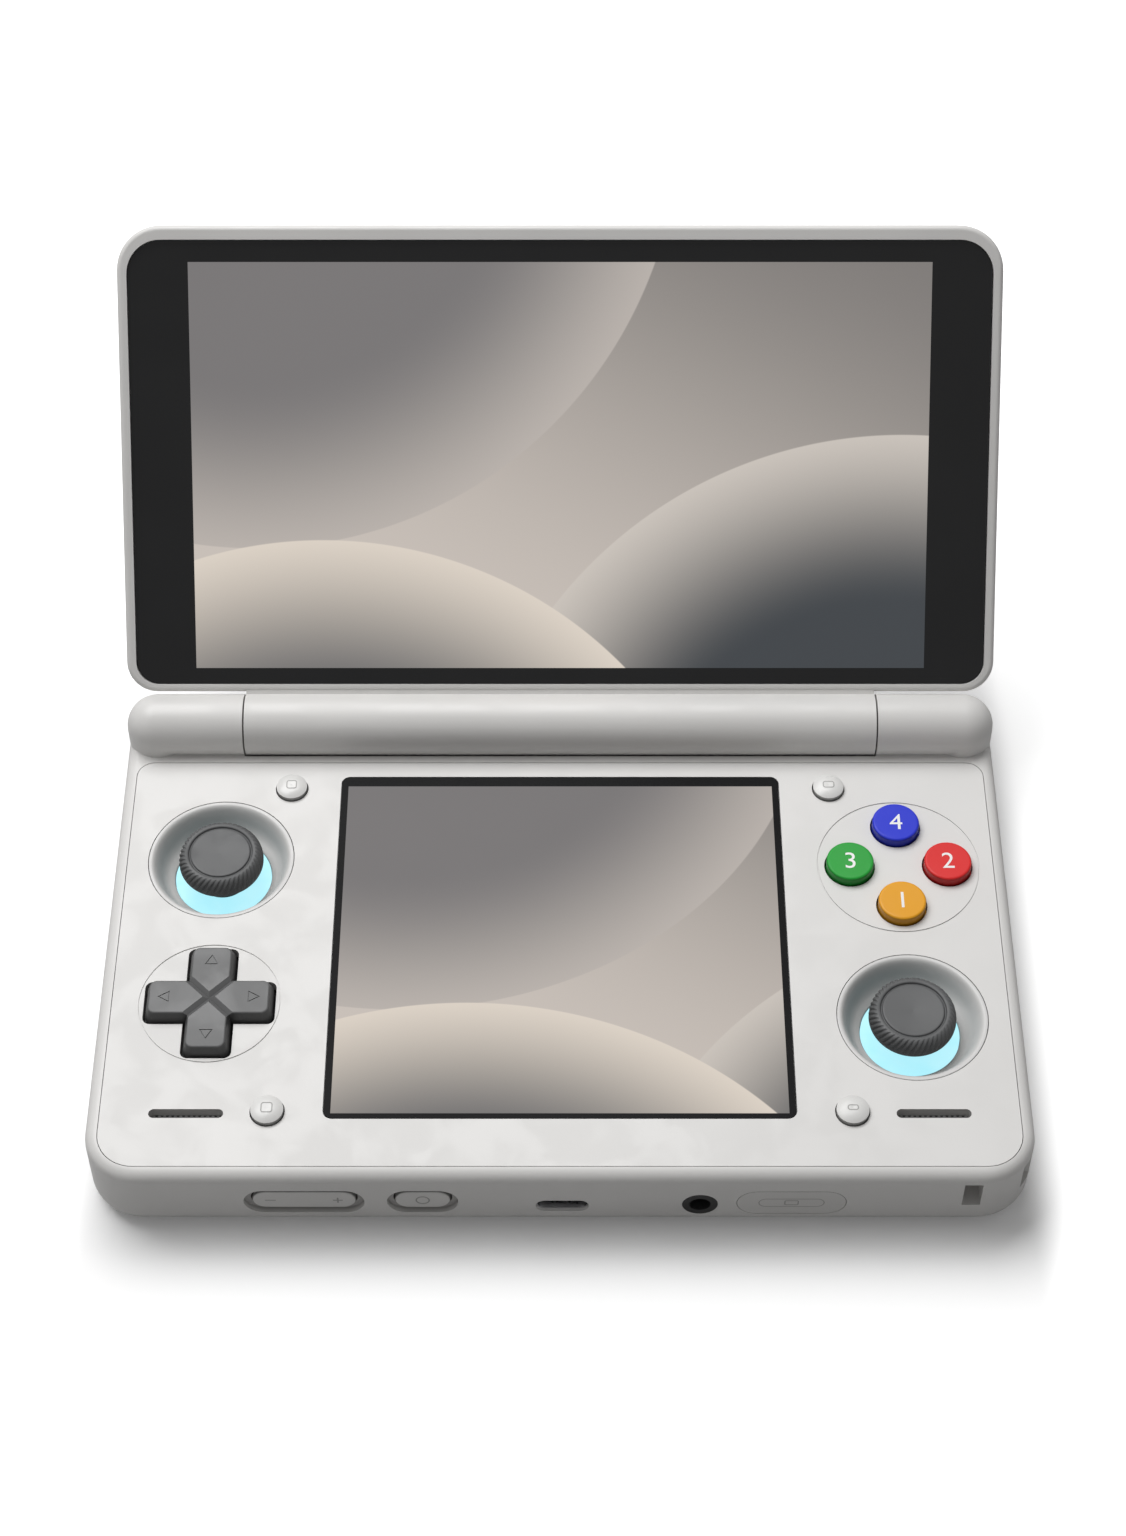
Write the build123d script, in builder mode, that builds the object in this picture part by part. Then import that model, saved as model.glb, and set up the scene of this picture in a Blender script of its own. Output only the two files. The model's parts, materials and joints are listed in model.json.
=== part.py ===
from build123d import *
import os
from math import cos, radians, sin, sqrt

os.makedirs("parts", exist_ok=True)

# Driving dimensions of the whole console, in millimetres and degrees
glass_width = 79.0  # cover glass of the lower screen
glass_rear_margin = 3.46  # rear edge of the deck plate to the lower glass
glass_front_margin = 9.37  # lower glass to the front edge of the deck plate
strip_length = 6.72  # hinge axis to the rear edge of the deck plate
well_radius = 13.0  # openings for the sticks
well_inner_margin = 7.7  # lower glass to a stick's opening
well_outer_margin = 3.7  # a stick's opening to the side of the deck plate
left_stick_from_rear = 18.62  # from the rear edge of the lower glass
column_gap = 5.78  # left stick's opening to the ring round the cross
dpad_ring = 12.12  # faint ring round the cross
dpad_from_front = 23.2  # from the front edge of the lower glass
deck_side_border = 2.2  # rim of the base beside the deck plate
deck_front_border = 2.13  # rim of the base in front of the deck plate
lid_shortfall = 4.5  # how much shorter the shut lid is than the base
base_thickness = 15.0  # deck to the underside of the bottom cover
foot_height = 0.6
hinge_rise = 2.75  # hinge axis above the deck
knuckle_radius = 5.57
open_angle = 130.7  # between the deck and the glass as the console stands
closed_gap = 3.6  # deck to the upper glass when the lid is shut
lid_thickness = 7.2  # front of the upper glass to the back of the lid
shell_wall = 2.0
panel_gap = 0.12  # between flush panels and the shell around them
fit_gap = 0.05  # around shafts and pins that turn or slide
button_gap = 0.3  # around keys in their holes
cut_over = 2.0  # how far a cut runs past the face that it opens

# Widths and lengths that follow from the lower glass and the controls beside it
control_strip = well_inner_margin + 2 * well_radius + well_outer_margin
deck_width = glass_width + 2 * control_strip
body_width = deck_width + 2 * deck_side_border
half_width = body_width / 2
side_column = deck_width / 2 - well_outer_margin - well_radius  # centre line of the sticks
glass_length = left_stick_from_rear + well_radius + column_gap + dpad_ring + dpad_from_front
glass_rear = strip_length + glass_rear_margin  # edges of the lower glass, ahead of the hinge
glass_near = glass_rear + glass_length
deck_front = glass_near + glass_front_margin  # hinge axis to the front edge of the deck plate
front_reach = deck_front + deck_front_border  # hinge axis to the front face of the base
lid_reach = front_reach - lid_shortfall  # hinge axis to the far edge of the lid

# The lid's back corner, which reaches furthest behind the hinge
lid_back_round = 3.0
glass_setback = closed_gap - hinge_rise  # hinge axis to the plane of the upper glass
lid_back = glass_setback + lid_thickness
half_turn = 180
lean = half_turn - open_angle
rear_reach = (
    (lid_reach - lid_back_round) * cos(radians(lean))
    + (lid_back - lid_back_round) * sin(radians(lean))
    + lid_back_round
)

# Heights and places that follow from the driving dimensions
deck_z = foot_height + base_thickness
hinge_z = deck_z + hinge_rise
hinge_y = (front_reach - rear_reach) / 2


def ahead(distance):
    """The Y of a place that lies so far ahead of the hinge axis."""
    return hinge_y - distance


def below(depth):
    """The height of a place that lies so far under the deck."""
    return deck_z - depth


front_y = ahead(front_reach)
rear_y = hinge_y + knuckle_radius
front_plane = Plane(origin=(0, front_y, 0), x_dir=(1, 0, 0), z_dir=(0, -1, 0))
lid_plane = Plane(
    origin=(0, hinge_y, hinge_z),
    x_dir=(1, 0, 0),
    z_dir=(0, -sin(radians(open_angle)), -cos(radians(open_angle))),
)


def save(piece, node):
    """Labels a finished piece and writes it under its node's name."""
    piece.part.label = node
    export_step(piece.part, f"parts/{node}.step")


def panel(width, near, far, near_radius, far_radius):
    """A rectangle across the middle, from one Y to another, with its own corner radii at each end."""
    with BuildSketch() as shape:
        with Locations((0, (near + far) / 2)):
            Rectangle(width, far - near)
        fillet(shape.vertices().group_by(Axis.Y)[0], near_radius)
        fillet(shape.vertices().group_by(Axis.Y)[-1], far_radius)
    return shape.sketch


def across(x):
    """The plane square to the hinge axis at this X, drawn on in Y and Z."""
    return Plane.YZ.offset(x)


# Sizes of the base shell
front_corner = 9.5
rim_round = 2.2
bottom_round = 3.5
knuckle_length = 21.45
knuckle_face = half_width - knuckle_length  # middle of the console to a knuckle's inner end
dome_x = half_width - knuckle_radius  # middle of the console to the centre of a knuckle's domed end
barrel_gap = 0.3
barrel_end = knuckle_face - barrel_gap
trough_gap = 0.35
deck_rear_corner = 3.2
deck_front_corner = 6.5
deck_thickness = 2.0
deck_ledge = 1.6
trough_floor = 1.0
cover_border = 4.5  # outside of the base to the bottom cover
cover_width = body_width - 2 * cover_border
cover_front = front_reach - cover_border
cover_rear_margin = 4.6  # rear face of the base to the rear edge of the bottom cover
cover_corner = 6.0
cover_thickness = 1.5
cover_ledge = 2.2
cavity_corner = 5.0
cavity_rear_corner = 3.0
trough_radius = knuckle_radius + trough_gap
trough_z = hinge_z - trough_radius
chamber_top = trough_z - trough_floor
cover_z = foot_height + cover_thickness
cover_rear = rear_y - cover_rear_margin
cavity_width = deck_width - 2 * deck_ledge
cavity_front = ahead(deck_front - deck_ledge)
partition_y = ahead(strip_length + deck_ledge)
chamber_rear = rear_y - shell_wall

# Sizes of the friction hinges
pin_radius = 1.9
pin_overlap = 15.65  # how far a hinge pin reaches into the barrel
pin_inner = knuckle_face - pin_overlap
cartridge_radius = 3.1
cartridge_length = 15.0
pin_length = 29.0
barrel_bore = 3.0
bore_end_wall = 2.0  # from the wide bore's end to the end of a hinge pin
barrel_bore_length = 2 * (pin_inner - bore_end_wall)
cartridge_start = knuckle_face + panel_gap
cartridge_end = cartridge_start + cartridge_length

# Sizes of the controls and sockets in the front face, with heights under the deck
volume_place_share = -0.5373  # of the half width
volume_x = half_width * volume_place_share
volume_drop = 7.6
volume_recess_length = 20.1
volume_length = 17.2
power_place_share = -0.2882  # of the half width
power_x = half_width * power_place_share
power_recess_length = 11.9
power_length = 9.2
recess_height = 6.8
recess_depth = 1.0
key_height = 4.8
key_wall = 1.2  # wall left in front of a side key's flange
flange_margin = 0.9
pocket_side_margin = 1.8
pocket_height_margin = 1.35
usb_x = 0.4
usb_drop = 8.9
usb_width = 8.8
usb_height = 3.2
card_inset = 40.6  # side of the base to the middle of the card door
jack_to_card = 15.2
card_x = half_width - card_inset
jack_x = card_x - jack_to_card
jack_drop = 8.45
jack_radius = 2.95
jack_bore = 1.78
jack_bore_length = 12.5
card_drop = 7.9
card_length = 18.3
card_height = 7.0
card_door_thickness = 1.1
card_slot_width = 12.0
card_slot_height = 1.5
strap_inset = 10.75  # side of the base to the middle of the strap slot
strap_x = half_width - strap_inset
strap_drop = 5.5
strap_width = 3.06
strap_height = 6.2
strap_side_inset = 4.9  # front face to the middle of the strap slot in the corner
strap_wall = 1.2
strap_depth = strap_side_inset + strap_width / 2
strap_block_start = strap_x - strap_width / 2 - strap_wall
strap_block_width = half_width - strap_block_start
strap_block_length = strap_depth + strap_wall
strap_block_low = below(strap_drop + strap_height / 2 + strap_wall)

# Sizes of the bumpers and triggers in the rear face
shoulder_height = 7.2
shoulder_z = 7.5
shoulder_gap = 0.25
shoulder_side_gap = 0.9
shoulder_pivot_inset = 3.4  # rear face to the pivot
shoulder_pin = 0.9
shoulder_pin_reach = 0.55
shoulder_inner = 1.2  # pivot to the inner end of the key
bumper_inset = 7.1  # side of the base to the outer end of a bumper
bumper_length = 11.5
bumper_end = half_width - bumper_inset
bumper_start = bumper_end - bumper_length
bumper_proud = 1.8
trigger_to_bumper = 4.5
trigger_length = 12.5
trigger_end = bumper_start - trigger_to_bumper
trigger_start = trigger_end - trigger_length
trigger_proud = 2.6
shoulder_low = shoulder_z - shoulder_height / 2
shoulder_pivot_y = rear_y - shoulder_pivot_inset

# Sizes of the screws and the posts that they go into
screw_inset = 7.7
screw_front_inset = 10.4
screw_rear = 8.0  # ahead of the hinge
screw_x = half_width - screw_inset
screw_front = front_reach - screw_front_inset
screw_places = [screw_front, (screw_front + screw_rear) / 2, screw_rear]
screw_shank = 0.8
screw_head = 1.9
screw_head_depth = 0.9
screw_length = 5.2
post_radius = 2.6
board_raise = 4.7  # top of the cover to the underside of the board
board_z = cover_z + board_raise
board_thickness = 1.0
board_top = board_z + board_thickness

with BuildPart() as base_shell:
    # Outer form with its corners, top rim and rounded underside
    with BuildSketch(Plane.XY.offset(foot_height)):
        add(panel(body_width, front_y, rear_y, front_corner, knuckle_radius))
    extrude(amount=base_thickness)
    fillet(base_shell.edges().group_by(Axis.Z)[-1], rim_round)
    fillet(base_shell.edges().group_by(Axis.Z)[0], bottom_round)
    # Knuckles: a round bar with a domed end over an upright rear wall
    with BuildSketch(Plane.XY.offset(foot_height + bottom_round)):
        for side in (-1, 1):
            with Locations((side * (dome_x + knuckle_face) / 2, hinge_y + knuckle_radius / 2)):
                Rectangle(dome_x - knuckle_face, knuckle_radius)
            with Locations((side * dome_x, hinge_y)):
                Circle(knuckle_radius)
    extrude(amount=hinge_z - foot_height - bottom_round)
    with BuildSketch(across(-dome_x)):
        with Locations((hinge_y, hinge_z)):
            Circle(knuckle_radius)
    extrude(amount=2 * dome_x)
    with Locations((dome_x, hinge_y, hinge_z), (-dome_x, hinge_y, hinge_z)):
        Sphere(knuckle_radius)
    # Trough for the barrel, open to the rear
    with BuildSketch(across(-knuckle_face)):
        with Locations((hinge_y, hinge_z)):
            Circle(trough_radius)
        with Locations((hinge_y + trough_radius, hinge_z)):
            Rectangle(2 * trough_radius, 2 * trough_radius)
    extrude(amount=2 * knuckle_face, mode=Mode.SUBTRACT)
    # Seat of the deck plate and the space under it
    with BuildSketch(Plane.XY.offset(deck_z)):
        add(panel(deck_width, ahead(deck_front), ahead(strip_length), deck_front_corner, deck_rear_corner))
    extrude(amount=-deck_thickness, mode=Mode.SUBTRACT)
    with BuildSketch(Plane.XY.offset(deck_z - deck_thickness)):
        add(panel(cavity_width, cavity_front, partition_y, cavity_corner, cavity_rear_corner))
    extrude(amount=-(deck_z - deck_thickness - cover_z - cover_thickness), mode=Mode.SUBTRACT)
    with BuildSketch(Plane.XY.offset(chamber_top)):
        add(panel(cavity_width, cavity_front, chamber_rear, cavity_corner, cavity_rear_corner))
    extrude(amount=-(chamber_top - cover_z - cover_thickness), mode=Mode.SUBTRACT)
    # Seat of the bottom cover and the opening above it
    with BuildSketch(Plane.XY.offset(foot_height)):
        add(panel(cover_width, ahead(cover_front), cover_rear, cover_corner, cover_corner))
    extrude(amount=cover_thickness, mode=Mode.SUBTRACT)
    with BuildSketch(Plane.XY.offset(cover_z)):
        add(
            panel(
                cover_width - 2 * cover_ledge,
                ahead(cover_front - cover_ledge),
                cover_rear - cover_ledge,
                cover_corner - cover_ledge,
                cover_corner - cover_ledge,
            )
        )
    extrude(amount=cover_thickness, mode=Mode.SUBTRACT)
    # Posts that carry the main board and take the cover's screws
    with BuildSketch(Plane.XY.offset(cover_z)):
        with Locations(*[(side * screw_x, ahead(place)) for side in (-1, 1) for place in screw_places]):
            Circle(post_radius)
    extrude(amount=board_z - cover_z)
    with BuildSketch(Plane.XY.offset(cover_z)):
        with Locations(*[(side * screw_x, ahead(place)) for side in (-1, 1) for place in screw_places]):
            Circle(screw_shank + fit_gap)
    extrude(amount=screw_length - screw_head_depth, mode=Mode.SUBTRACT)
    # Bores of the friction hinges
    for side in (-1, 1):
        with BuildSketch(across(side * (knuckle_face - cut_over))):
            with Locations((hinge_y, hinge_z)):
                Circle(cartridge_radius + fit_gap)
        extrude(amount=side * (cut_over + cartridge_end - knuckle_face), mode=Mode.SUBTRACT)
    # Recesses and through holes of the volume and power keys
    for key_x, recess_length, key_length in (
        (volume_x, volume_recess_length, volume_length),
        (power_x, power_recess_length, power_length),
    ):
        with BuildSketch(front_plane):
            with Locations((key_x, below(volume_drop))):
                SlotOverall(recess_length, recess_height)
        extrude(amount=-recess_depth, mode=Mode.SUBTRACT)
        with BuildSketch(front_plane):
            with Locations((key_x, below(volume_drop))):
                SlotOverall(key_length + 2 * button_gap, key_height + 2 * button_gap)
        extrude(amount=-(front_reach - deck_front + deck_ledge + cut_over), mode=Mode.SUBTRACT)
        with BuildSketch(front_plane.offset(-(recess_depth + key_wall))):
            with Locations((key_x, below(volume_drop))):
                SlotOverall(key_length + 2 * pocket_side_margin, key_height + 2 * pocket_height_margin)
        extrude(amount=-(front_reach - deck_front + deck_ledge + cut_over), mode=Mode.SUBTRACT)
    # Openings of the charging port, headphone jack and card slot
    with BuildSketch(front_plane):
        with Locations((usb_x, below(usb_drop))):
            SlotOverall(usb_width + 2 * fit_gap, usb_height + 2 * fit_gap)
        with Locations((jack_x, below(jack_drop))):
            Circle(jack_radius + fit_gap)
        with Locations((card_x, below(card_drop))):
            SlotOverall(card_slot_width, card_slot_height)
    extrude(amount=-(front_reach - deck_front + deck_ledge + cut_over), mode=Mode.SUBTRACT)
    with BuildSketch(front_plane):
        with Locations((card_x, below(card_drop))):
            SlotOverall(card_length, card_height)
    extrude(amount=-(card_door_thickness + panel_gap), mode=Mode.SUBTRACT)
    # Strap loop: a solid corner, with a slot in the front that meets one in the corner
    with BuildSketch(Plane.XY.offset(strap_block_low)):
        add(panel(body_width, front_y, rear_y, front_corner, knuckle_radius))
        with Locations((half_width - strap_block_width / 2, front_y + strap_block_length / 2)):
            Rectangle(strap_block_width, strap_block_length, mode=Mode.INTERSECT)
    extrude(amount=deck_z - deck_thickness - strap_block_low)
    with BuildSketch(front_plane):
        with Locations((strap_x, below(strap_drop))):
            Rectangle(strap_width, strap_height)
    extrude(amount=-strap_depth, mode=Mode.SUBTRACT)
    with BuildSketch(across(strap_x)):
        with Locations((front_y + strap_side_inset, below(strap_drop))):
            Rectangle(strap_width, strap_height)
    extrude(amount=half_width - strap_x, mode=Mode.SUBTRACT)
    # Windows and pivot holes of the bumpers and triggers
    for side in (-1, 1):
        for start, end in ((bumper_start, bumper_end), (trigger_start, trigger_end)):
            inner = start - shoulder_inner - shoulder_gap
            outer = end + shoulder_side_gap
            with BuildSketch(Plane.XY.offset(shoulder_low - shoulder_gap)):
                with Locations((side * (inner + outer) / 2, rear_y)):
                    Rectangle(outer - inner, 2 * shell_wall)
            extrude(amount=shoulder_height + 2 * shoulder_gap, mode=Mode.SUBTRACT)
            with BuildSketch(Plane.XY.offset(cover_z + cover_thickness - shoulder_pin_reach - panel_gap)):
                with Locations((side * start, shoulder_pivot_y)):
                    Circle(shoulder_pin + fit_gap)
            extrude(
                amount=chamber_top - cover_z - cover_thickness + 2 * (shoulder_pin_reach + panel_gap),
                mode=Mode.SUBTRACT,
            )

save(base_shell, "base_shell")

# Sizes of the bottom cover, its feet and its screws
foot_length = 12.0
foot_width = 5.0
foot_seat = 0.4
foot_inset = 21.1  # side of the base to the middle of a foot
foot_front_inset = 11.4
foot_rear = 8.0  # ahead of the hinge
foot_x = half_width - foot_inset
foot_places = [front_reach - foot_front_inset, foot_rear]
foot_round = 0.3
driver_width = 0.5
driver_length = 2.2
driver_depth = 0.4
feet = [(side * foot_x, ahead(place)) for side in (-1, 1) for place in foot_places]
screws = [(side * screw_x, ahead(place)) for side in (-1, 1) for place in screw_places]

with BuildPart() as bottom_cover:
    with BuildSketch(Plane.XY.offset(foot_height)):
        add(
            panel(
                cover_width - 2 * panel_gap,
                ahead(cover_front - panel_gap),
                cover_rear - panel_gap,
                cover_corner - panel_gap,
                cover_corner - panel_gap,
            )
        )
    extrude(amount=cover_thickness)
    with BuildSketch(Plane.XY.offset(foot_height)):
        with Locations(*feet):
            SlotOverall(foot_length + 2 * fit_gap, foot_width + 2 * fit_gap)
    extrude(amount=foot_seat, mode=Mode.SUBTRACT)
    with BuildSketch(Plane.XY.offset(foot_height)):
        with Locations(*screws):
            Circle(screw_head + fit_gap)
    extrude(amount=screw_head_depth, mode=Mode.SUBTRACT)
    with BuildSketch(Plane.XY.offset(foot_height)):
        with Locations(*screws):
            Circle(screw_shank + fit_gap)
    extrude(amount=cover_thickness, mode=Mode.SUBTRACT)

save(bottom_cover, "bottom_cover")

with BuildPart() as cover_feet:
    with BuildSketch():
        with Locations(*feet):
            SlotOverall(foot_length, foot_width)
    extrude(amount=foot_height + foot_seat)
    chamfer(cover_feet.edges().group_by(Axis.Z)[0], foot_round)

save(cover_feet, "cover_feet")

with BuildPart() as cover_screws:
    with BuildSketch(Plane.XY.offset(foot_height)):
        with Locations(*screws):
            Circle(screw_head)
    extrude(amount=screw_head_depth)
    with BuildSketch(Plane.XY.offset(foot_height)):
        with Locations(*screws):
            Circle(screw_shank)
    extrude(amount=screw_length)
    with BuildSketch(Plane.XY.offset(foot_height)):
        with Locations(*screws):
            Rectangle(driver_length, driver_width)
            Rectangle(driver_width, driver_length)
    extrude(amount=driver_depth, mode=Mode.SUBTRACT)

save(cover_screws, "cover_screws")

# Places and sizes of the controls on the deck
buttons_from_rear = 20.22  # from the rear edge of the lower glass
rear_small_from_rear = 2.68
right_stick_from_front = 20.4  # from the front edge of the lower glass
front_small_from_front = 1.31
speaker_from_front = 0.92
buttons_from_column = 0.2  # from the centre line of the sticks
rear_small_from_side = 9.0  # from the side of the lower glass
front_small_from_side = 9.35
speaker_to_small = 13.55
left_stick_ahead = glass_rear + left_stick_from_rear
right_stick_ahead = glass_near - right_stick_from_front
buttons_x = side_column - buttons_from_column
buttons_ahead = glass_rear + buttons_from_rear
cluster_radius = 8.65
face_hole = 4.5
face_ring = 14.3
dpad_x = -buttons_x
dpad_ahead = glass_near - dpad_from_front
dpad_span = 21.7  # at deck level
dpad_arm = 7.8
dpad_gap = 0.45
dpad_corner = 1.3
small_hole = 2.95
rear_small_x = glass_width / 2 + rear_small_from_side
rear_small_ahead = glass_rear + rear_small_from_rear
front_small_x = glass_width / 2 + front_small_from_side
front_small_ahead = glass_near - front_small_from_front
speaker_x = front_small_x + speaker_to_small
speaker_ahead = glass_near - speaker_from_front
speaker_slot_length = 12.5
speaker_slot_width = 1.75
ring_groove_width = 0.25
ring_groove_depth = 0.15
glass_corner = 1.5
lower_glass_thickness = 0.7
window_side_border = 1.0
window_front_border = 0.7
window_rear_border = 1.42
window_width = glass_width - 2 * window_side_border
window_near = glass_near - window_front_border
window_rear = glass_rear + window_rear_border
window_corner = 1.0
display_thickness = 1.4
small_places = {
    "small_button_rear_left": (-rear_small_x, rear_small_ahead),
    "small_button_rear_right": (rear_small_x, rear_small_ahead),
    "small_button_front_left": (-front_small_x, front_small_ahead),
    "small_button_front_right": (front_small_x, front_small_ahead),
}
face_places = {
    "face_button_top": (buttons_x, buttons_ahead - cluster_radius),
    "face_button_left": (buttons_x - cluster_radius, buttons_ahead),
    "face_button_right": (buttons_x + cluster_radius, buttons_ahead),
    "face_button_bottom": (buttons_x, buttons_ahead + cluster_radius),
}
stick_places = {
    "left_stick": (-side_column, left_stick_ahead),
    "right_stick": (side_column, right_stick_ahead),
}


def spot(place):
    """The X and Y of a place given as an X and a distance ahead of the hinge."""
    return (place[0], ahead(place[1]))


def level(place, depth):
    """A flat plane so far under the deck, with its origin on a control's centre line."""
    return Plane(origin=(place[0], ahead(place[1]), below(depth)))


def upright(place):
    """The plane across a control, drawn in X and in height above the deck."""
    return Plane(origin=(place[0], ahead(place[1]), deck_z), x_dir=(1, 0, 0), z_dir=(0, -1, 0))


def spindle(place):
    """The upright centre line of a round control."""
    return Axis((place[0], ahead(place[1]), 0), (0, 0, 1))


def cross(span, arm, corner):
    """A plus sign with rounded outer corners."""
    with BuildSketch() as shape:
        Rectangle(span, arm)
        Rectangle(arm, span)
        fillet(shape.vertices().filter_by(lambda v: max(abs(v.X), abs(v.Y)) > arm), corner)
    return shape.sketch


with BuildPart() as deck_plate:
    with BuildSketch(Plane.XY.offset(deck_z)):
        add(
            panel(
                deck_width - 2 * panel_gap,
                ahead(deck_front - panel_gap),
                ahead(strip_length + panel_gap),
                deck_front_corner - panel_gap,
                deck_rear_corner - panel_gap,
            )
        )
        with Locations(*[spot(place) for place in stick_places.values()]):
            Circle(well_radius, mode=Mode.SUBTRACT)
        with Locations(*[spot(place) for place in face_places.values()]):
            Circle(face_hole, mode=Mode.SUBTRACT)
        with Locations(*[spot(place) for place in small_places.values()]):
            Circle(small_hole, mode=Mode.SUBTRACT)
        with Locations(*[(side * speaker_x, ahead(speaker_ahead)) for side in (-1, 1)]):
            SlotOverall(speaker_slot_length, speaker_slot_width, mode=Mode.SUBTRACT)
    extrude(amount=-deck_thickness)
    with BuildSketch(level((dpad_x, dpad_ahead), 0)):
        add(cross(dpad_span + 2 * dpad_gap, dpad_arm + 2 * dpad_gap, dpad_corner))
    extrude(amount=-deck_thickness, mode=Mode.SUBTRACT)
    # Faint rings round the face buttons and the cross
    for place, radius in (((buttons_x, buttons_ahead), face_ring), ((dpad_x, dpad_ahead), dpad_ring)):
        with BuildSketch(level(place, 0)):
            Circle(radius + ring_groove_width / 2)
            Circle(radius - ring_groove_width / 2, mode=Mode.SUBTRACT)
        extrude(amount=-ring_groove_depth, mode=Mode.SUBTRACT)
    # Pocket of the lower glass and window of its display
    with BuildSketch(Plane.XY.offset(deck_z)):
        add(
            panel(
                glass_width + 2 * panel_gap,
                ahead(glass_near + panel_gap),
                ahead(glass_rear - panel_gap),
                glass_corner + panel_gap,
                glass_corner + panel_gap,
            )
        )
    extrude(amount=-lower_glass_thickness, mode=Mode.SUBTRACT)
    with BuildSketch(Plane.XY.offset(deck_z)):
        add(panel(window_width, ahead(window_near), ahead(window_rear), window_corner, window_corner))
    extrude(amount=-deck_thickness, mode=Mode.SUBTRACT)

save(deck_plate, "deck_plate")

with BuildPart() as lower_glass:
    with BuildSketch(Plane.XY.offset(deck_z)):
        add(panel(glass_width, ahead(glass_near), ahead(glass_rear), glass_corner, glass_corner))
    extrude(amount=-lower_glass_thickness)

save(lower_glass, "lower_glass")

with BuildPart() as lower_display:
    with BuildSketch(Plane.XY.offset(deck_z - lower_glass_thickness)):
        add(
            panel(
                window_width - 2 * panel_gap,
                ahead(window_near - panel_gap),
                ahead(window_rear + panel_gap),
                window_corner,
                window_corner,
            )
        )
    extrude(amount=-display_thickness)

save(lower_display, "lower_display")

# Sizes of the battery, the main board and what stands on it
battery_side_margin = 6.5  # edges of the lower glass to the battery under it
battery_front_margin = 10.9
battery_rear_margin = 9.82
battery_width = glass_width - 2 * battery_side_margin
battery_front = glass_near - battery_front_margin
battery_rear = glass_rear + battery_rear_margin
battery_thickness = 4.3
battery_round = 1.5
board_margin = 1.0
board_front_margin = 2.47
board_width = cavity_width - 2 * board_margin
board_front = deck_front - board_front_margin
board_rear = 2.0
board_corner = 4.5
board_gap = 0.4
module_width = 17.0
chip_ahead = 45.0
chip_width = 18.0
chip_height = 1.2
spreader_width = 40.0
spreader_length = 27.0
spreader_thickness = 0.8
spreader_corner = 2.0
small_chip_height = 0.9
small_chip_shares = [  # place across, place ahead, width and length, as shares of the large chip's width
    (-0.92, 2.5, 0.44, 0.61),
    (0.92, 2.5, 0.44, 0.61),
    (-0.89, 3.67, 0.33, 0.33),
    (0.56, 3.78, 0.39, 0.28),
    (1.33, 1.11, 0.5, 0.39),
    (-1.33, 1.0, 0.56, 0.44),
]
usb_foot_inset = 1.1
tab_length = 2.6
tab_width = 2.0
tab_thickness = 0.3
usb_length = 8.0
usb_setback = 0.5
usb_wall = 0.25
usb_tongue_width = 6.2
usb_tongue_height = 0.7
usb_tongue_setback = 1.2
usb_back = 1.0
jack_box_width = 7.0
jack_box_height = 5.0
jack_box_length = 9.6
reader_width = 14.0
reader_height = 2.4
reader_front_margin = 1.77
reader_front = deck_front - reader_front_margin
reader_length = 15.0
reader_slot_width = 11.2
reader_slot_height = 1.0
reader_slot_length = 12.5
usb_rear = front_reach - usb_setback - usb_length
jack_box_front = deck_front - deck_ledge - panel_gap
jack_box_rear = jack_box_front - jack_box_length
reader_rear = reader_front - reader_length
connectors = [  # middle, width and rear end of what stands in the board's front notches
    (usb_x, usb_width, usb_rear),
    (jack_x, jack_box_width, jack_box_rear),
    (card_x, reader_width, reader_rear),
]

with BuildPart() as battery:
    with BuildSketch(Plane.XY.offset(cover_z)):
        add(panel(battery_width, ahead(battery_front), ahead(battery_rear), battery_round, battery_round))
    extrude(amount=battery_thickness)
    fillet(battery.edges().group_by(Axis.Z)[-1], battery_round)

save(battery, "battery")

with BuildPart() as main_board:
    with BuildSketch(Plane.XY.offset(board_z)):
        add(panel(board_width, ahead(board_front), ahead(board_rear), board_corner, board_corner))
        with Locations(*[spot(place) for place in stick_places.values()]):
            Rectangle(module_width + 2 * board_gap, module_width + 2 * board_gap, mode=Mode.SUBTRACT)
        for middle, width, rear in connectors:
            notch_length = board_front - rear + board_gap
            with Locations((middle, ahead(board_front - notch_length / 2 + cut_over / 2))):
                Rectangle(width + 2 * board_gap, notch_length + cut_over, mode=Mode.SUBTRACT)
        with Locations((strap_block_start - board_gap + half_width, front_y)):
            Rectangle(body_width, 2 * (strap_depth + strap_wall + board_gap), mode=Mode.SUBTRACT)
    extrude(amount=board_thickness)

save(main_board, "main_board")

with BuildPart() as board_chips:
    with BuildSketch(Plane.XY.offset(board_top)):
        with Locations((0, ahead(chip_ahead))):
            Rectangle(chip_width, chip_width)
    extrude(amount=chip_height)
    for shares in small_chip_shares:
        x, distance, width, length = [share * chip_width for share in shares]
        with BuildSketch(Plane.XY.offset(board_top)):
            with Locations((x, ahead(distance))):
                Rectangle(width, length)
        extrude(amount=small_chip_height)

save(board_chips, "board_chips")

with BuildPart() as heat_spreader:
    with BuildSketch(Plane.XY.offset(board_top + chip_height)):
        with Locations((0, ahead(chip_ahead))):
            RectangleRounded(spreader_width, spreader_length, spreader_corner)
    extrude(amount=spreader_thickness)

save(heat_spreader, "heat_spreader")


def tabs(middle, width, rear):
    """The two feet by which a socket in a notch sits on the main board."""
    with BuildSketch() as shape:
        for side in (-1, 1):
            with Locations((middle + side * (width + tab_width) / 2, ahead(rear + tab_length / 2 + board_gap))):
                Rectangle(tab_width + 2 * fit_gap, tab_length)
    return shape.sketch


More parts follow.
